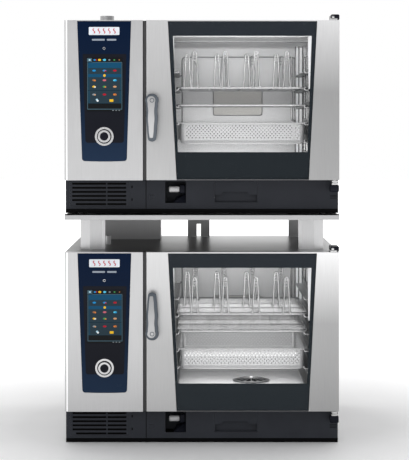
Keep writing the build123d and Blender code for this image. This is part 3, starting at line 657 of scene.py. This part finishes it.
def screen_shapes():
    """The display's flat shapes, back to front, as (layer, outline, ink)."""
    fields = [
        (0, (-448, -309.4), (399, 607.5), 2, "black"),
        (1, (-446.5, -310.5), (406, 591), 2, "line"),
        (1, (-447, -428), (589, 606), 2, "line"),
        (2, (-444, -313), (409, 589), 1, "black"),
        (3, (-443, -314), (430, 589), 1, "field"),
        (4, (-443, -314), (568, 589), 1, "header"),
        (4, (-438, -319), (545, 567), 1, "tile"),
        (4, (-443, -314), (532, 544), 0, "header"),
        (4, (-438, -319), (482, 531), 1, "tile"),
        (4, (-443, -314), (479.5, 481), 0, "black"),
        (4, (-436, -321), (431, 478.5), 1, "tile"),
    ]
    shapes = [(layer, rectangle(x, z, radius), ink) for layer, x, z, radius, ink in fields]
    status = [("pale", 9), ("blue", 9), ("yellow", 12), ("cyan", 12), ("grey", 8), ("green", 7), ("brown", 6)]
    flatness = 0.7
    for i, (ink, width) in enumerate(status):
        shapes.append((5, ellipse((-437 + 19.2 * i, 599), width, width * flatness), ink))
    shapes.append((6, ellipse((-411, 599), 4, 7), "red"))
    rows = [
        (557.5, [("blue",), ("blue", "red"), ("red",)]),
        (520, [("brown", "orange"), ("pink",), ("cyan", "blue")]),
        (495, [("yellow", "white"), ("green", "orange"), ("tan",)]),
        (464.5, [("grey", "tan"), ("red",), ("orange", "brown")]),
    ]
    for z, inks in rows:
        for column, pair in enumerate(inks):
            x = -420 + 40.5 * column
            shapes.append((5, ellipse((x, z), 14, 7.5), pair[0]))
            if len(pair) > 1:
                shapes.append((6, ellipse((x + 3.5, z - 1.5), 7, 5), pair[1]))
    shapes.append((5, ellipse((-379.5, 538.5), 10, 10), "yellow"))
    shapes.append((5, ellipse((-409, 444), 9, 8), "pale"))
    shapes.append((6, ellipse((-406, 440), 8, 7), "white"))
    shapes.append((5, rectangle((-360, -345), (436, 446), 1), "yellow"))
    for i in range(3):
        shapes.append((1, ellipse((-346 + 12 * i, 402.6), 6, 3.5), "grey"))
    return shapes


def screen_picture(deck):
    """The lit picture on the touch screen: generic icons and fields without any writing."""
    name = f"{deck}_screen_picture"
    glass_front, first_gap, layer_gap = -1.6, 0.05, 0.03
    bm = bmesh.new()
    layer = bm.loops.layers.float_color.new("Ink")
    for level, outline, ink in screen_shapes():
        depth = glass_front - first_gap - layer_gap * level
        face = bm.faces.new([bm.verts.new(place(p[0], depth, p[1], deck)) for p in outline])
        face.normal_update()
        if face.normal.y > 0:
            face.normal_flip()
        for loop in face.loops:
            loop[layer] = (*INK[ink], 1)
    mesh = bpy.data.meshes.new(name)
    bm.to_mesh(mesh)
    bm.free()
    add_piece(name, mesh, display, ROOT)


def operating_panel(deck):
    """Bezel round the screen and dial, a blank badge with steam waves, and the power ring."""
    corners = [(-464, 622), (-294, 622), (-304.5, 276.5), (-453.6, 276.5)]
    bezel = rounded(corners, [2, 2, 10, 10])
    hole = circle(DIAL, DIAL_HOLE)
    screen = rectangle((-448.6, -308.8), (398.4, 608.3), 1)
    plate(f"{deck}_bezel", [bezel, screen, hole], (-1.5, -1.1), black_gloss, ROOT, deck, 0.1)
    badge = [rectangle((-440, -321), (696, 727), 3)]
    plate(f"{deck}_badge", badge, (-2.2, -1.1), badge_white, ROOT, deck, 0.4)
    swing, steps, rise = 3.6, 10, 1.9
    sway = [swing * math.sin(2 * math.pi * s / steps) for s in range(steps + 1)]
    waves = []
    for i in range(5):
        x = -420.5 + 20 * i
        waves.append([(x + side, -2.3, 702 + rise * s) for s, side in enumerate(sway)])
    add_piece(f"{deck}_badge_waves", wires_mesh("waves", waves, 1.7, deck), badge_red, ROOT)
    for name, x in (("long", (-428, -378)), ("short", (-370, -333))):
        mark = [rectangle(x, (674, 681), 3)]
        plate(f"{deck}_mark_{name}", mark, (-1.6, -1.1), mark_grey, ROOT, deck, 0.1)
    ring = [circle(POWER_BUTTON, 5), circle(POWER_BUTTON, 3.4)]
    plate(f"{deck}_power_ring", ring, (-1.6, -1.1), steel["ring"], ROOT, deck, 0.1)
    groove = [circle(DIAL, 28.2), circle(DIAL, DIAL_HOLE)]
    plate(f"{deck}_dial_groove", groove, (-1.65, -1.15), black_gloss, ROOT, deck, 0.1)


# ---- casing and service panel ------------------------------------------------------------------
def gap_profile(deck):
    """The folded strip that shows in the gap between the operating side and the door, made very dark as
    painted shade of the gap.
    """
    z = (132, 752)
    profile = [(-230.2, 24), (-229.6, 9), (-219, 7)]
    edges = [[(x, depth, height) for x, depth in profile] for height in z]
    mesh = folded("gap_profile", [edges], 0.8, deck)
    add_piece(f"{deck}_gap_profile", mesh, steel["gap"], ROOT)


def fascia_edge(deck):
    """The folded edge on the left of the operating side: a grey return and a bevel in very light steel, a
    painted highlight.
    """
    z = (131, 753)
    bevel = (-533, 1.6), (-529, -0.5), (-524, -0.5)
    side = (-535.6, 6), (-535.4, 1.2), (-533.2, 0.8)
    for name, profile, thickness, material in (
        ("bevel", bevel, 0.5, steel["bright"]), ("return", side, 0.4, steel["front"]),
    ):
        edges = [[(x, depth, height) for x, depth in profile] for height in z]
        mesh = folded(name, [edges], thickness, deck)
        add_piece(f"{deck}_fascia_{name}", mesh, material, ROOT)


def service_details(deck):
    """The dark filter mat behind the slots, the clips beside it and the liner of the shower recess."""
    y = SERVICE_DEPTH
    clips = [((-277, -272.5), (y - 1.5, y + 0.1), (z, z + 9)) for z in (48, 98)]
    # painted shade: dark blocks for the openings of three slits
    slits = [((504, 530), (y - 0.2, y + 0.2), (z, z + 2)) for z in (57, 62.5, 68)]
    for name, body, boxes, bevel in (
        ("filter_mat", f"{deck}_filter", [((-514, -289), (y + 5, y + 7.6), (30.5, 118.5))], 0.5),
        ("filter_clips", ROOT, clips, 0.6),
        ("panel_joint", ROOT, [((-221, -218.4), (y - 0.5, y + 2), (17, 129))], 0.2),
        ("panel_slits", ROOT, slits, 0.1),
    ):
        blocks(f"{deck}_{name}", boxes, black_void, body, deck, bevel)
    x = (SHOWER_X[0] + 0.3, SHOWER_X[1] - 0.3)
    z = (RECESS_Z[0] + 0.3, RECESS_Z[1] - 0.3)
    near, far = y + 1, 134
    ring = [(x[0], z[0]), (x[1], z[0]), (x[1], z[1]), (x[0], z[1]), (x[0], z[0])]
    edges = [[(px, depth, pz) for px, pz in ring] for depth in (near, far)]
    liner = folded("liner", [edges], 0.2, deck)
    add_piece(f"{deck}_recess_liner", liner, black_void, ROOT)
    edges = [(-112, 60, 40), (-63.6, 60, 40)], [(-100, 110, 62), (-63.6, 90, 74)]
    add_piece(f"{deck}_recess_ramp", folded("ramp", [edges], 0.8, deck), black_gloss, ROOT)


def hand_shower(deck):
    """The hand shower: a bright rounded head, a tall black cap beside it and the neck behind."""
    body = f"{deck}_shower"
    head = ((-130, -88), (60.5, 84), (81, 104.5))
    lever = ((-127, -96), (58.5, 62), (86, 99))
    name = f"{deck}_shower_head"
    bm = bmesh.new()
    add_block(bm, *head, deck, 6)
    add_block(bm, *lever, deck, 1.5)
    piece = add_piece(name, mesh_of(name, bm), steel["tray"], body)
    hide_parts(f"{deck}_hand_shower")
    cap = ((-87.6, -66), (60, 85), (77, 110))
    blocks(f"{deck}_shower_cap", [cap], black_gloss, body, deck, 5)
    neck = wires_mesh("neck", [[(-97, 78, SHOWER_Z), (-97, 232, SHOWER_Z)]], 7.8, deck, sides=6)
    add_piece(f"{deck}_shower_neck", neck, chrome, body)


def hinges(deck):
    """The door's top cap and the lower block with its bright collar and pin."""
    cap = ((503, 536), (5, 109), (755, 777))
    bm = bmesh.new()
    add_block(bm, *cap, deck, 5)
    cap_piece = add_piece(f"{deck}_hinge_cap", mesh_of("cap", bm), black_gloss, ROOT)
    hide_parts("door_hinges")
    trim = [((501.2, 528), (4.2, 30), (754.6, 762)), ((506, 516), (4.1, 8), (762.2, 771))]
    blocks(f"{deck}_hinge_trim", trim, chrome, ROOT, deck, 1.6)
    block = ((501, 535.6), (4.2, 56.4), (84.2, 112))
    block_piece = blocks(f"{deck}_hinge_block", [block], black_gloss, ROOT, deck, 5)
    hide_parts("door_hinges")
    profile = [
        (9, 110), (14, 112.5), (14, 118), (11, 119.5), (11, 122),
        (13.5, 123.5), (13.5, 128.4), (6, 129.2), (6, 150),
    ]
    collar = spun("collar", profile, HINGE_X, 20, deck)
    add_piece(f"{deck}_hinge_collar", collar, chrome, ROOT)


# ---- door --------------------------------------------------------------------------------------
def trapezium(top, bottom, radius=0):
    """Outline between a top and a bottom edge, each (left, right, z)."""
    corners = [(bottom[0], bottom[2]), (bottom[1], bottom[2]), (top[1], top[2]), (top[0], top[2])]
    return rounded(corners, radius) if radius else [Vector(c) for c in corners]


def pane(name, outline, depth, material, body, deck, node):
    """A glass pane with its edges; the back is left open, so that few surfaces lie behind one another."""
    bm = bmesh.new()
    front = [bm.verts.new(place(p[0], depth[0], p[1], deck)) for p in outline]
    back = [bm.verts.new(place(p[0], depth[1], p[1], deck)) for p in outline]
    bm.faces.new(front)
    for i in range(len(front)):
        j = (i + 1) % len(front)
        bm.faces.new((front[i], front[j], back[j], back[i]))
    piece = add_piece(name, mesh_of(name, bm), material, body)
    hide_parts(node)


def door_glass(deck):
    """The outer glass, the middle pane and the inner pane of the door."""
    body = f"{deck}_door"
    outer = trapezium(GLASS_TOP, GLASS_BOTTOM, 1)
    node = f"{deck}_door_outer_glass"
    pane(f"{deck}_outer_pane", outer, (0.4, 4.4), outer_glass, body, deck, node)
    node = f"{deck}_door_inner_glass"
    for where, grow, depth in (("middle", 7.5, (26, 30)), ("inner", -0.5, (50, 54))):
        x = (WINDOW_X[0] - grow, WINDOW_X[1] + grow)
        z = (WINDOW_Z[0] - grow, WINDOW_Z[1] + grow)
        outline = rectangle(x, z, 3)
        pane(f"{deck}_{where}_pane", outline, depth, clear_glass, body, deck, node)


def door_border(deck):
    """Dark print behind the outer glass, with a gradient of painted shade and light; the pale edge of the
    window, which glows as painted light; and its light strip on the right.
    """
    body = f"{deck}_door"
    outlines = [trapezium(GLASS_TOP, GLASS_BOTTOM), trapezium(CLEAR_TOP, CLEAR_BOTTOM, 3)]
    plate(f"{deck}_door_print", outlines, (4.6, 5.2), border[deck], body, deck, 0.05)
    edge = [(CLEAR_TOP[0], CLEAR_TOP[2]), (CLEAR_BOTTOM[0], CLEAR_BOTTOM[2])]
    back = [(-109, 699), (-109, 236)]
    sides = [[(x, depth, z) for x, z in side] for side, depth in ((edge, 5.6), (back, 25.4))]
    mesh = folded("window_edge", [sides], 0.4, deck)
    # painted light: the window edge glows
    add_piece(f"{deck}_window_edge", mesh, led_white, body)
    foot = ((-99, 417), (-0.4, 0.3), (131.4, 134.2))
    blocks(f"{deck}_door_foot", [foot], motor_grey, body, deck, 0.15)
    low = 485
    sides = [(427.5, 5.8, 692), (421, 5.8, low)], [(414, 25.2, 698), (417.5, 25.2, low)]
    mesh = folded("light_strip", [sides], 0.4, deck)
    add_piece(f"{deck}_light_strip", mesh, led_white, body)
    clip = ((416.5, 422), (5.6, 14), (low - 8, low + 1))
    blocks(f"{deck}_light_clip", [clip], black_gloss, body, deck, 1)


def lever_outline(grow, end, up):
    """Outline of the door lever: a round hub, a waist, a belly and a rounded end."""
    marks = [(0, 26), (41, 21.5), (69, 23), (110, 20), (160, 15.5)]
    waist, end_length = 24, 12
    hub = 26 + grow
    turns = [math.radians(a) for a in range(-90, 31, 10)]
    right = [(hub * math.cos(a), hub * math.sin(a)) for a in turns]
    for s in range(waist, end - end_length, 6):
        right.append((width_at(marks, s) + grow, s))
    tip = width_at(marks, end - end_length) + grow
    for a in (math.radians(degrees) for degrees in range(0, 91, 15)):
        right.append((tip * math.cos(a), end - end_length + (end_length + grow) * math.sin(a)))
    left = [(-x, s) for x, s in reversed(right) if x > 0.01]
    return [Vector((HUB[0] + x, HUB[1] + s * up)) for x, s in right + left]


def width_at(marks, s):
    """Smooth half width between the given (place, half width) marks."""
    for (s0, w0), (s1, w1) in zip(marks, marks[1:]):
        if s <= s1:
            share = (s - s0) / (s1 - s0)
            ease = share * share * (3 - 2 * share)
            return w0 + (w1 - w0) * ease
    return marks[-1][1]


def bent_back(mesh, deck):
    """Curve the lever towards the door at its tip, more with the distance from the hub."""
    hub = place(HUB[0], 0, HUB[1], deck).z
    length, back, bend = 0.16, 0.030, 0.011
    for vert in mesh.vertices:
        share = min(abs(vert.co.z - hub) / length, 1)
        front = max(0, FRONT_Y - back - vert.co.y) / back
        vert.co.y += bend * share ** 2 * front
    return mesh


def door_lever(deck):
    """The door handle: a dark curved body with a light steel insert and a ring at the hub."""
    up = LEVER_UP[deck]
    body = f"{deck}_door_handle"
    shell_depth, neck_depth, insert_depth, insert_shift = -44, -16.5, -57.8, -0.003
    shell = upright(cut_sheet("lever", [lever_outline(0, 160, up)], 28, 8), shell_depth, deck)
    neck = upright(cut_sheet("neck", [circle(HUB, 18)], 31, 2), neck_depth, deck)
    mesh = join_meshes("lever", bent_back(shell, deck), neck)
    lever = add_piece(f"{deck}_lever", mesh, lever_plastic, body, 60)
    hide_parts(f"{deck}_door_handle")
    inset = upright(cut_sheet("insert", [lever_outline(-10, 156, up)], 4, 1.2), insert_depth, deck)
    inset.transform(Matrix.Translation((insert_shift, 0, 0)))
    add_piece(f"{deck}_lever_insert", bent_back(inset, deck), steel["insert"], body)
    ring = [circle(HUB, 9), circle(HUB, 6)]
    plate(f"{deck}_lever_ring", ring, (-60, -59), lever_plastic, body, deck, 0.2)


# ---- chamber -----------------------------------------------------------------------------------
def perforated(bm, corner, across, up, counts, radius):
    """Fill a flat stretch with cells, every second one with an eight-cornered hole; all in metres."""
    step = across / counts[0], up / counts[1]
    unit = across.normalized(), up.normalized()
    corners = 8
    for row in range(counts[1]):
        for column in range(counts[0]):
            centre = corner + step[0] * (column + 0.5) + step[1] * (row + 0.5)
            ways = [(math.cos(a), math.sin(a)) for a in turns_of(corners)]
            edge = []
            for c, n in ways:
                reach = 0.5 / max(abs(c), abs(n))
                edge.append(bm.verts.new(centre + step[0] * c * reach + step[1] * n * reach))
            if (row + column) % 2:
                bm.faces.new(edge)
                continue
            rim = [bm.verts.new(centre + (unit[0] * c + unit[1] * n) * radius) for c, n in ways]
            for k in range(corners):
                j = (k + 1) % corners
                bm.faces.new((edge[k], edge[j], rim[j], rim[k]))


def sheet_metal(name, bm, thickness):
    """Give a joined-up open surface an even thickness."""
    bmesh.ops.remove_doubles(bm, verts=bm.verts, dist=WELD)
    bmesh.ops.recalc_face_normals(bm, faces=bm.faces)
    bmesh.ops.solidify(bm, geom=bm.faces[:], thickness=thickness * MM)
    return mesh_of(name, bm)


def container(deck):
    """A deep perforated container with a rolled rim, hanging in the rack."""
    top, base = CONTAINER_LEVEL, CONTAINER_LEVEL - CONTAINER_HEIGHT
    wall, sheet = 18, 1
    plain_share = 0.08
    wall_cells, wall_hole = (64, 7), 0.0029
    base_cells, base_hole = (32, 40), 0.0042

    def ring(shrink, z, radius):
        x = (TRAY_X[0] + shrink, TRAY_X[1] - shrink)
        depth = (TRAY_DEPTH[0] + shrink, TRAY_DEPTH[1] - shrink)
        return [(p[0], p[1], z) for p in rectangle(x, depth, radius)]

    rings = [
        ring(1, top - 5, 22), ring(0, top - 2, 22), ring(1, top, 22), ring(wall - 4, top, 20),
        ring(wall, top - 4, 15), ring(wall, base + 16, 15), ring(wall + 4, base + 5, 15),
        ring(wall + 14, base + 0.6, 12), ring(wall + 30, base + 0.6, 0.5),
    ]
    pierced_level = 4
    front, back = 6, 20
    body = bmesh.new()
    loops = [[body.verts.new(place(*p, deck)) for p in points] for points in rings]
    for level, (outer, inner) in enumerate(zip(loops, loops[1:])):
        for i in range(len(outer)):
            j = (i + 1) % len(outer)
            if level != pierced_level or i not in (front, back):
                body.faces.new((outer[i], outer[j], inner[j], inner[i]))
    high, low = loops[pierced_level], loops[pierced_level + 1]
    walls = [(low[i].co.copy(), low[i + 1].co - low[i].co, high[i].co - low[i].co) for i in (front, back)]
    middle = [loops[-1][i].co.copy() for i in (0, 7, 21)]
    meshes = [sheet_metal("container", body, sheet)]
    for start, across, rise in walls:
        bm = bmesh.new()
        margin = rise * plain_share
        perforated(bm, start + margin, across, rise - 2 * margin, wall_cells, wall_hole)
        for corner in (start, start + rise - margin):
            strip = (corner, corner + across, corner + across + margin, corner + margin)
            bm.faces.new([bm.verts.new(v) for v in strip])
        bmesh.ops.remove_doubles(bm, verts=bm.verts, dist=WELD)
        meshes.append(mesh_of("wall", bm))
    rear_wall = meshes.pop()
    bm = bmesh.new()
    perforated(bm, middle[0], middle[1] - middle[0], middle[2] - middle[0], base_cells, base_hole)
    meshes.append(sheet_metal("middle", bm, sheet))
    mesh = join_meshes("container", *meshes)
    piece = add_piece(f"{deck}_container", mesh, steel["tray"], ROOT)
    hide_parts("gn_containers")
    # the rear wall takes its oven's painted-light tone
    add_piece(f"{deck}_container_rear", rear_wall, steel[f"inside_{deck}"], ROOT)


def shelf_wires(deck, level):
    """A grid shelf's frame, its close cross wires and the three stays under them, as one mesh."""
    frame_wire, cross_wire, pitch = 4, 2.4, 20
    x = (TRAY_X[0] + frame_wire, TRAY_X[1] - frame_wire)
    depth = (TRAY_DEPTH[0] + frame_wire, TRAY_DEPTH[1] - frame_wire)
    edge = [(p[0], p[1], level) for p in rectangle(x, depth, 18)]
    rows = int((depth[1] - depth[0]) / pitch)
    cross = []
    for row in range(1, rows):
        back = depth[0] + row * (depth[1] - depth[0]) / rows
        cross.append([(x[0], back, level + 1.5), (x[1], back, level + 1.5)])
    stays = []
    for quarter in (1, 2, 3):
        side = x[0] + quarter * (x[1] - x[0]) / 4
        stays.append([(side, depth[0], level - 2), (side, depth[1], level - 2)])
    return join_meshes(
        "shelf",
        wires_mesh("frame", [edge], frame_wire, deck, closed=True),
        wires_mesh("cross", cross, cross_wire, deck, sides=1),
        wires_mesh("stays", stays, 3, deck, sides=1),
    )


def spike_loops(deck):
    """Wire spikes: two leaning loops, one behind the other, joined by short rungs near the top."""
    foot, tip, gap = 13, 6, 13
    base, top = SPIKE_LEVEL + 3, SPIKE_TOP
    loops, rungs = [], []
    for depth, first in SPIKE_ROWS:
        for column in range(4):
            x = first + SPIKE_PITCH * column
            for side in (-1, 1):
                leg = [(foot + 6, 1.6, base), (foot, 1.4, base + 4), (tip, 0.4, top)]
                corners = [(x - out, depth + gap * side * lean, z) for out, lean, z in leg]
                corners += [(x + out, depth + gap * side * lean, z) for out, lean, z in reversed(leg)]
                loops.append(rounded(corners, [0, 4, 6, 6, 4, 0], closed=False, steps=4))
            for drop in (9, 21, 33):
                rungs.append([(x - tip - 1, depth - 6, top - drop), (x + tip + 1, depth - 6, top - drop)])
            for side in (-1, 1):
                at = x + side * foot
                rungs.append([(at, depth - gap * 1.5, base + 2), (at, depth + gap * 1.5, base + 2)])
    return join_meshes("spikes", wires_mesh("loops", loops, 3, deck), wires_mesh("rungs", rungs, 2.4, deck))


def shelves(deck):
    """The plain grid shelf, and the one above it with spikes."""
    grid = add_piece(f"{deck}_grid_shelf", shelf_wires(deck, GRID_LEVEL), wire, ROOT, 60)
    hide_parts("grid_shelves")
    mesh = join_meshes("spike_rack", shelf_wires(deck, SPIKE_LEVEL), spike_loops(deck))
    spikes = add_piece(f"{deck}_spike_rack", mesh, wire, ROOT, 60)
    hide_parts("spike_racks")


def hanging_racks(deck):
    """The two hanging racks: rods, folded U rails with wire stops, dark struts, and corner strips that glow
    as painted light.
    """
    foot, top, front, back = 205, 640, 190, 810
    rail_ends, stop_ends, hook_depth = (157, 843), (156, 844), 846
    rods, stops, rails = [], [], []
    for wall, inward in zip(RACK_X, (1, -1)):
        for depth in (front, 360, 500, 640, back):
            rods.append([(wall, depth, foot), (wall, depth, top)])
        for z in (foot, top):
            rods.append([(wall, front, z), (wall, back, z)])
        for level in TRAY_LEVELS:
            near, far = wall + 5 * inward, wall + 40 * inward
            corners = [(near, level + 17), (near, level - 8), (far, level - 8), (far, level - 3)]
            profile = rounded(corners, [0, 5, 3, 0], closed=False, steps=3)
            rails.append([[(p[0], depth, p[1]) for p in profile] for depth in rail_ends])
            for depth in stop_ends:
                corners = [(wall, level + 20), (wall, level - 9), (far, level - 9), (far, level + 1)]
                bend = [(x, depth, z) for x, z in corners]
                stops.append(rounded(bend, [0, 7, 7, 0], closed=False, steps=4))
    hook = [(x, hook_depth, z) for x, z in ((392, top), (392, 364), (408, 364), (408, top))]
    rods.append(rounded(hook, [0, 8, 8, 0], closed=False, steps=5))
    wires = join_meshes("rack", wires_mesh("rods", rods, 4, deck), wires_mesh("stops", stops, 2.5, deck))
    rack = add_piece(f"{deck}_hanging_racks", wires, wire, ROOT, 60)
    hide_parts("hanging_racks")
    struts = [[(x, 847, 190), (x, 847, 686)] for x in (-129, 409, 424, 440)]
    rails_mesh = join_meshes(
        "rails", folded("rails", rails, 1.4, deck), wires_mesh("struts", struts, 2.4, deck)
    )
    add_piece(f"{deck}_rack_rails", rails_mesh, steel["rail"], ROOT)
    # corner strips that glow: painted light on the right of the rear wall
    for name, x in (("inner", (411, 421)), ("outer", (427, 437))):
        strip = [rectangle(x, (196, 680), 2)]
        plate(f"{deck}_corner_{name}", strip, (848.5, 850.5), corner_painted_glow, ROOT, deck, 0.3)


def lining(deck):
    """The stepped ceiling and the rear wall of the chamber, one folded sheet with rounded corners."""
    corners = [
        (63, 704), (236, 704), (240, 699), (560, 699), (566, 694), (852.5, 690), (852.5, 178), (800, 176.2),
    ]
    profile = rounded(corners, [0, 2, 2, 3, 3, 16, 18, 0], closed=False, steps=5)
    edges = [[(x, p[0], p[1]) for p in profile] for x in (CHAMBER_X[0] + 0.5, CHAMBER_X[1] - 1)]
    mesh = folded("lining", [edges], 0.8, deck)
    add_piece(f"{deck}_chamber_lining", mesh, steel["lining"], ROOT)


def seams(deck):
    """The dark joints across the ceiling: one near the front and one at each of its steps."""
    ends = (CHAMBER_X[0] + 8, CHAMBER_X[1] - 8)
    lines = [[(x, depth, z) for x in ends] for depth, z in ((150, 703), (240, 698), (566, 693))]
    mesh = wires_mesh("seams", lines, 1.8, deck)
    add_piece(f"{deck}_ceiling_seams", mesh, steel["rail"], ROOT)


def rear_cover(deck):
    """The raised cover on the rear wall, with a dark wire along its top and sides as painted shadow under its
    edge, and the flat box in its middle.
    """
    outline = rectangle((-84, 404), (268, 636), 14)
    plate(f"{deck}_rear_cover", [outline], (848.6, 851.6), steel["cover"], ROOT, deck, 1)
    # painted shadow: a dark wire where the cover's edge throws its shadow
    cover_shadow_line = [(-87, 275), (-87, 640), (407, 640), (407, 275)]
    path = [(p[0], 850.5, p[1]) for p in rounded(cover_shadow_line, [0, 16, 16, 0], closed=False)]
    mesh = wires_mesh("cover_shadow_line", [path], 2.2, deck)
    add_piece(f"{deck}_rear_cover_shadow", mesh, steel["rail"], ROOT)
    box = rectangle((51, 261.5), (387, 498), 9)
    plate(f"{deck}_rear_box", [box], (839, 848), steel["beige"], ROOT, deck, 1.5)
    edge = [(p[0], 841, p[1]) for p in rectangle((49.5, 263), (385.5, 500), 10)]
    rim = wires_mesh("box_edge", [edge], 1.6, deck, closed=True)
    add_piece(f"{deck}_rear_box_edge", rim, steel["rail"], ROOT)


def strainer(deck):
    """The drain strainer: a low dome cut into petals, over a black disc that is painted shade of the drain.
    """
    petals, steps = 14, 16
    radius, rise = 78, 0.009
    middle, half_length, half_width = 47, 24, 8.5
    sheet = [circle(STRAINER, radius)]
    for turn in turns_of(petals):
        petal = []
        for a in turns_of(steps):
            out = middle + half_length * math.cos(a)
            side = half_width * math.sin(a) * (1.1 + 0.5 * math.cos(a))
            x = out * math.cos(turn) - side * math.sin(turn)
            y = out * math.sin(turn) + side * math.cos(turn)
            petal.append(Vector((STRAINER[0] + x, STRAINER[1] + y)))
        sheet.append(petal)
    mesh = lying(cut_sheet("strainer", sheet, 2, 0.3), 179, deck)
    centre = place(STRAINER[0], STRAINER[1], 0, deck)
    for vert in mesh.vertices:
        reach = math.hypot(vert.co.x - centre.x, vert.co.y - centre.y) / (radius * MM)
        vert.co.z += rise * (1 - reach * reach)
    dome = add_piece(f"{deck}_strainer", mesh, steel["rail"], ROOT)
    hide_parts("drain_strainers")
    knob = spun("knob", [(9, 187), (10, 190), (8, 194), (3, 196)], *STRAINER, deck)
    add_piece(f"{deck}_strainer_knob", knob, chrome, ROOT)
    # painted shade: a black disc for the drain below the petals
    sump = lying(cut_sheet("sump", [circle(STRAINER, 76)], 0.6, 0.1), 176.9, deck)
    add_piece(f"{deck}_sump", sump, black_void, ROOT)


def pad_sleeves():
    """Black rubber sleeves on the four pads between the stacking frame and the upper oven; they also darken
    the pads as painted shade of the gap they stand in.
    """
    profile = [(14.1, -6.1), (14.8, -5.6), (14.8, -0.8), (14.1, -0.3)]
    places = [(x, depth) for x in (-476, 476) for depth in (72, 970)]
    sleeves = [spun("sleeve", profile, *spot, "upper") for spot in places]
    add_piece("pad_sleeves", join_meshes("pad_sleeves", *sleeves), black_rubber, ROOT)


DECK_PIECES = [
    screen_picture, operating_panel, fascia_edge, gap_profile, service_details, hand_shower,
    hinges, door_glass, door_border, door_lever,
    container, shelves, hanging_racks, lining, seams, rear_cover, strainer,
]
for deck in DECKS:
    for build in DECK_PIECES:
        build(deck)
pad_sleeves()
# painted shade: a dark strip fills the shaded gap between the upper oven's skirt and the stacking rail
rail_gap_box = ((-535.6, 535.6), (1, 5), (-5.9, -1.2))
blocks("rail_gap_painted_shade", [rail_gap_box], skirt_coat, ROOT, "upper", 0.8)


# ---- camera, light and floor ---------------------------------------------------------------------
def camera():
    """The viewing camera, straight in front and a little above the middle, looking slightly down."""
    eye = (0, FRONT_Y - 6.8787, 1.26993)
    downward = 1.2455
    lens = bpy.data.cameras.new("camera")
    lens.lens = 138.15
    lens.sensor_width = 36
    lens.shift_x = 0.0056
    lens.shift_y = -0.1555
    lens.clip_end = 100
    camera = bpy.data.objects.new("camera", lens)
    camera.location = eye
    camera.rotation_euler = (math.radians(90 - downward), 0, 0)
    bpy.context.scene.collection.objects.link(camera)
    bpy.context.scene.camera = camera


def area_light(name, location, target, size, power):
    """A rectangular soft light that points at a target."""
    data = bpy.data.lights.new(name, "AREA")
    data.shape = "RECTANGLE"
    data.size, data.size_y = size
    data.energy = power
    light = bpy.data.objects.new(name, data)
    light.location = location
    light.rotation_euler = (Vector(target) - Vector(location)).to_track_quat("-Z", "Y").to_euler()
    bpy.context.scene.collection.objects.link(light)


# in each chamber, behind the front and above the foot: place, target, size, power in each oven
CHAMBER_LIGHTS = {
    "lamp": ((0.16, 0.1, 0.688), (0.16, 0.7, 0.25), (0.5, 0.03), {"lower": 0.26, "upper": 0.26}),
    "wash": ((0.158, 0.058, 0.45), (0.158, 0.7, 0.44), (0.54, 0.48), {"lower": 0.9, "upper": 0.9}),
    "back": ((0.15, 0.42, 0.45), (0.15, 0.9, 0.42), (0.5, 0.4), {"lower": 0.46, "upper": 0.46}),
    "under": ((0.16, 0.45, 0.262), (0.16, 0.46, 0.1), (0.5, 0.6), {"lower": 1.9, "upper": 1.9}),
    "sill": ((0.16, 0.4, 0.228), (0.16, 0.9, 0.225), (0.5, 0.03), {"lower": 0.05, "upper": 0.26}),
    "shelf": ((0.16, 0.5, 0.37), (0.16, 0.9, 0.37), (0.52, 0.12), {"lower": 0.22, "upper": 0.22}),
}
SURROUNDING = [(-0.2, (0.70, 0.70, 0.71, 1)), (0.15, (1, 1, 1, 1))]


def studio():
    """A white surrounding, darker where the fronts look, two soft lights and lamps in each chamber."""
    world = bpy.data.worlds.new("studio")
    world.use_nodes = True
    nodes, links = world.node_tree.nodes, world.node_tree.links
    where = nodes.new("ShaderNodeTexCoord")
    split = nodes.new("ShaderNodeSeparateXYZ")
    ramp = nodes.new("ShaderNodeValToRGB")
    for element, (position, colour) in zip(ramp.color_ramp.elements, SURROUNDING):
        element.position = position
        element.color = colour
    links.new(where.outputs["Generated"], split.inputs["Vector"])
    links.new(split.outputs["Y"], ramp.inputs["Fac"])
    links.new(ramp.outputs["Color"], nodes["Background"].inputs["Color"])
    bpy.context.scene.world = world
    area_light("low", (0, -4.0, 0.4), (0, 0, 0.5), (3.2, 0.7), 2)
    area_light("key", (-2.4, -4.2, 3.0), (0, 0, 0.9), (2.0, 2.0), 14)
    for deck, z in DECKS.items():
        for name, (spot, target, size, power) in CHAMBER_LIGHTS.items():
            ends = [(p[0], FRONT_Y + p[1], z + p[2]) for p in (spot, target)]
            area_light(f"{deck}_{name}", *ends, size, power[deck])


def floor():
    """A pale floor that glows more with distance from the ovens: painted light that fades it to white far off
    and leaves a painted shade round them.
    """
    half_size = 30
    fade_start, fade_end = 0.75, 3.5
    bm = bmesh.new()
    bmesh.ops.create_grid(bm, x_segments=2, y_segments=2, size=half_size)
    mesh = mesh_of("floor", bm)
    shader = Shader("floor_white")
    speckle = shader.grain(3, detail=2)
    shader.feed(shader.ramp(speckle, [(0.3, grey(0.87)), (0.7, grey(0.90))]), "Base Color")
    where = shader.node("ShaderNodeTexCoord")
    reach = shader.node("ShaderNodeVectorMath", operation="LENGTH")
    fade = shader.node("ShaderNodeMapRange")
    fade.inputs["From Min"].default_value = fade_start
    fade.inputs["From Max"].default_value = fade_end
    shader.links.new(where.outputs["Object"], reach.inputs[0])
    shader.links.new(reach.outputs["Value"], fade.inputs["Value"])
    shader.set(Roughness=0.6, Emission_Color=(1, 1, 1, 1))
    # painted light: the glow grows from nothing near the ovens to full far away
    shader.feed(fade.outputs["Result"], "Emission Strength")
    mesh.materials.append(shader.material)
    ground = bpy.data.objects.new("floor", mesh)
    bpy.context.scene.collection.objects.link(ground)


camera()
studio()
floor()
bpy.context.scene.view_settings.view_transform = "Standard"
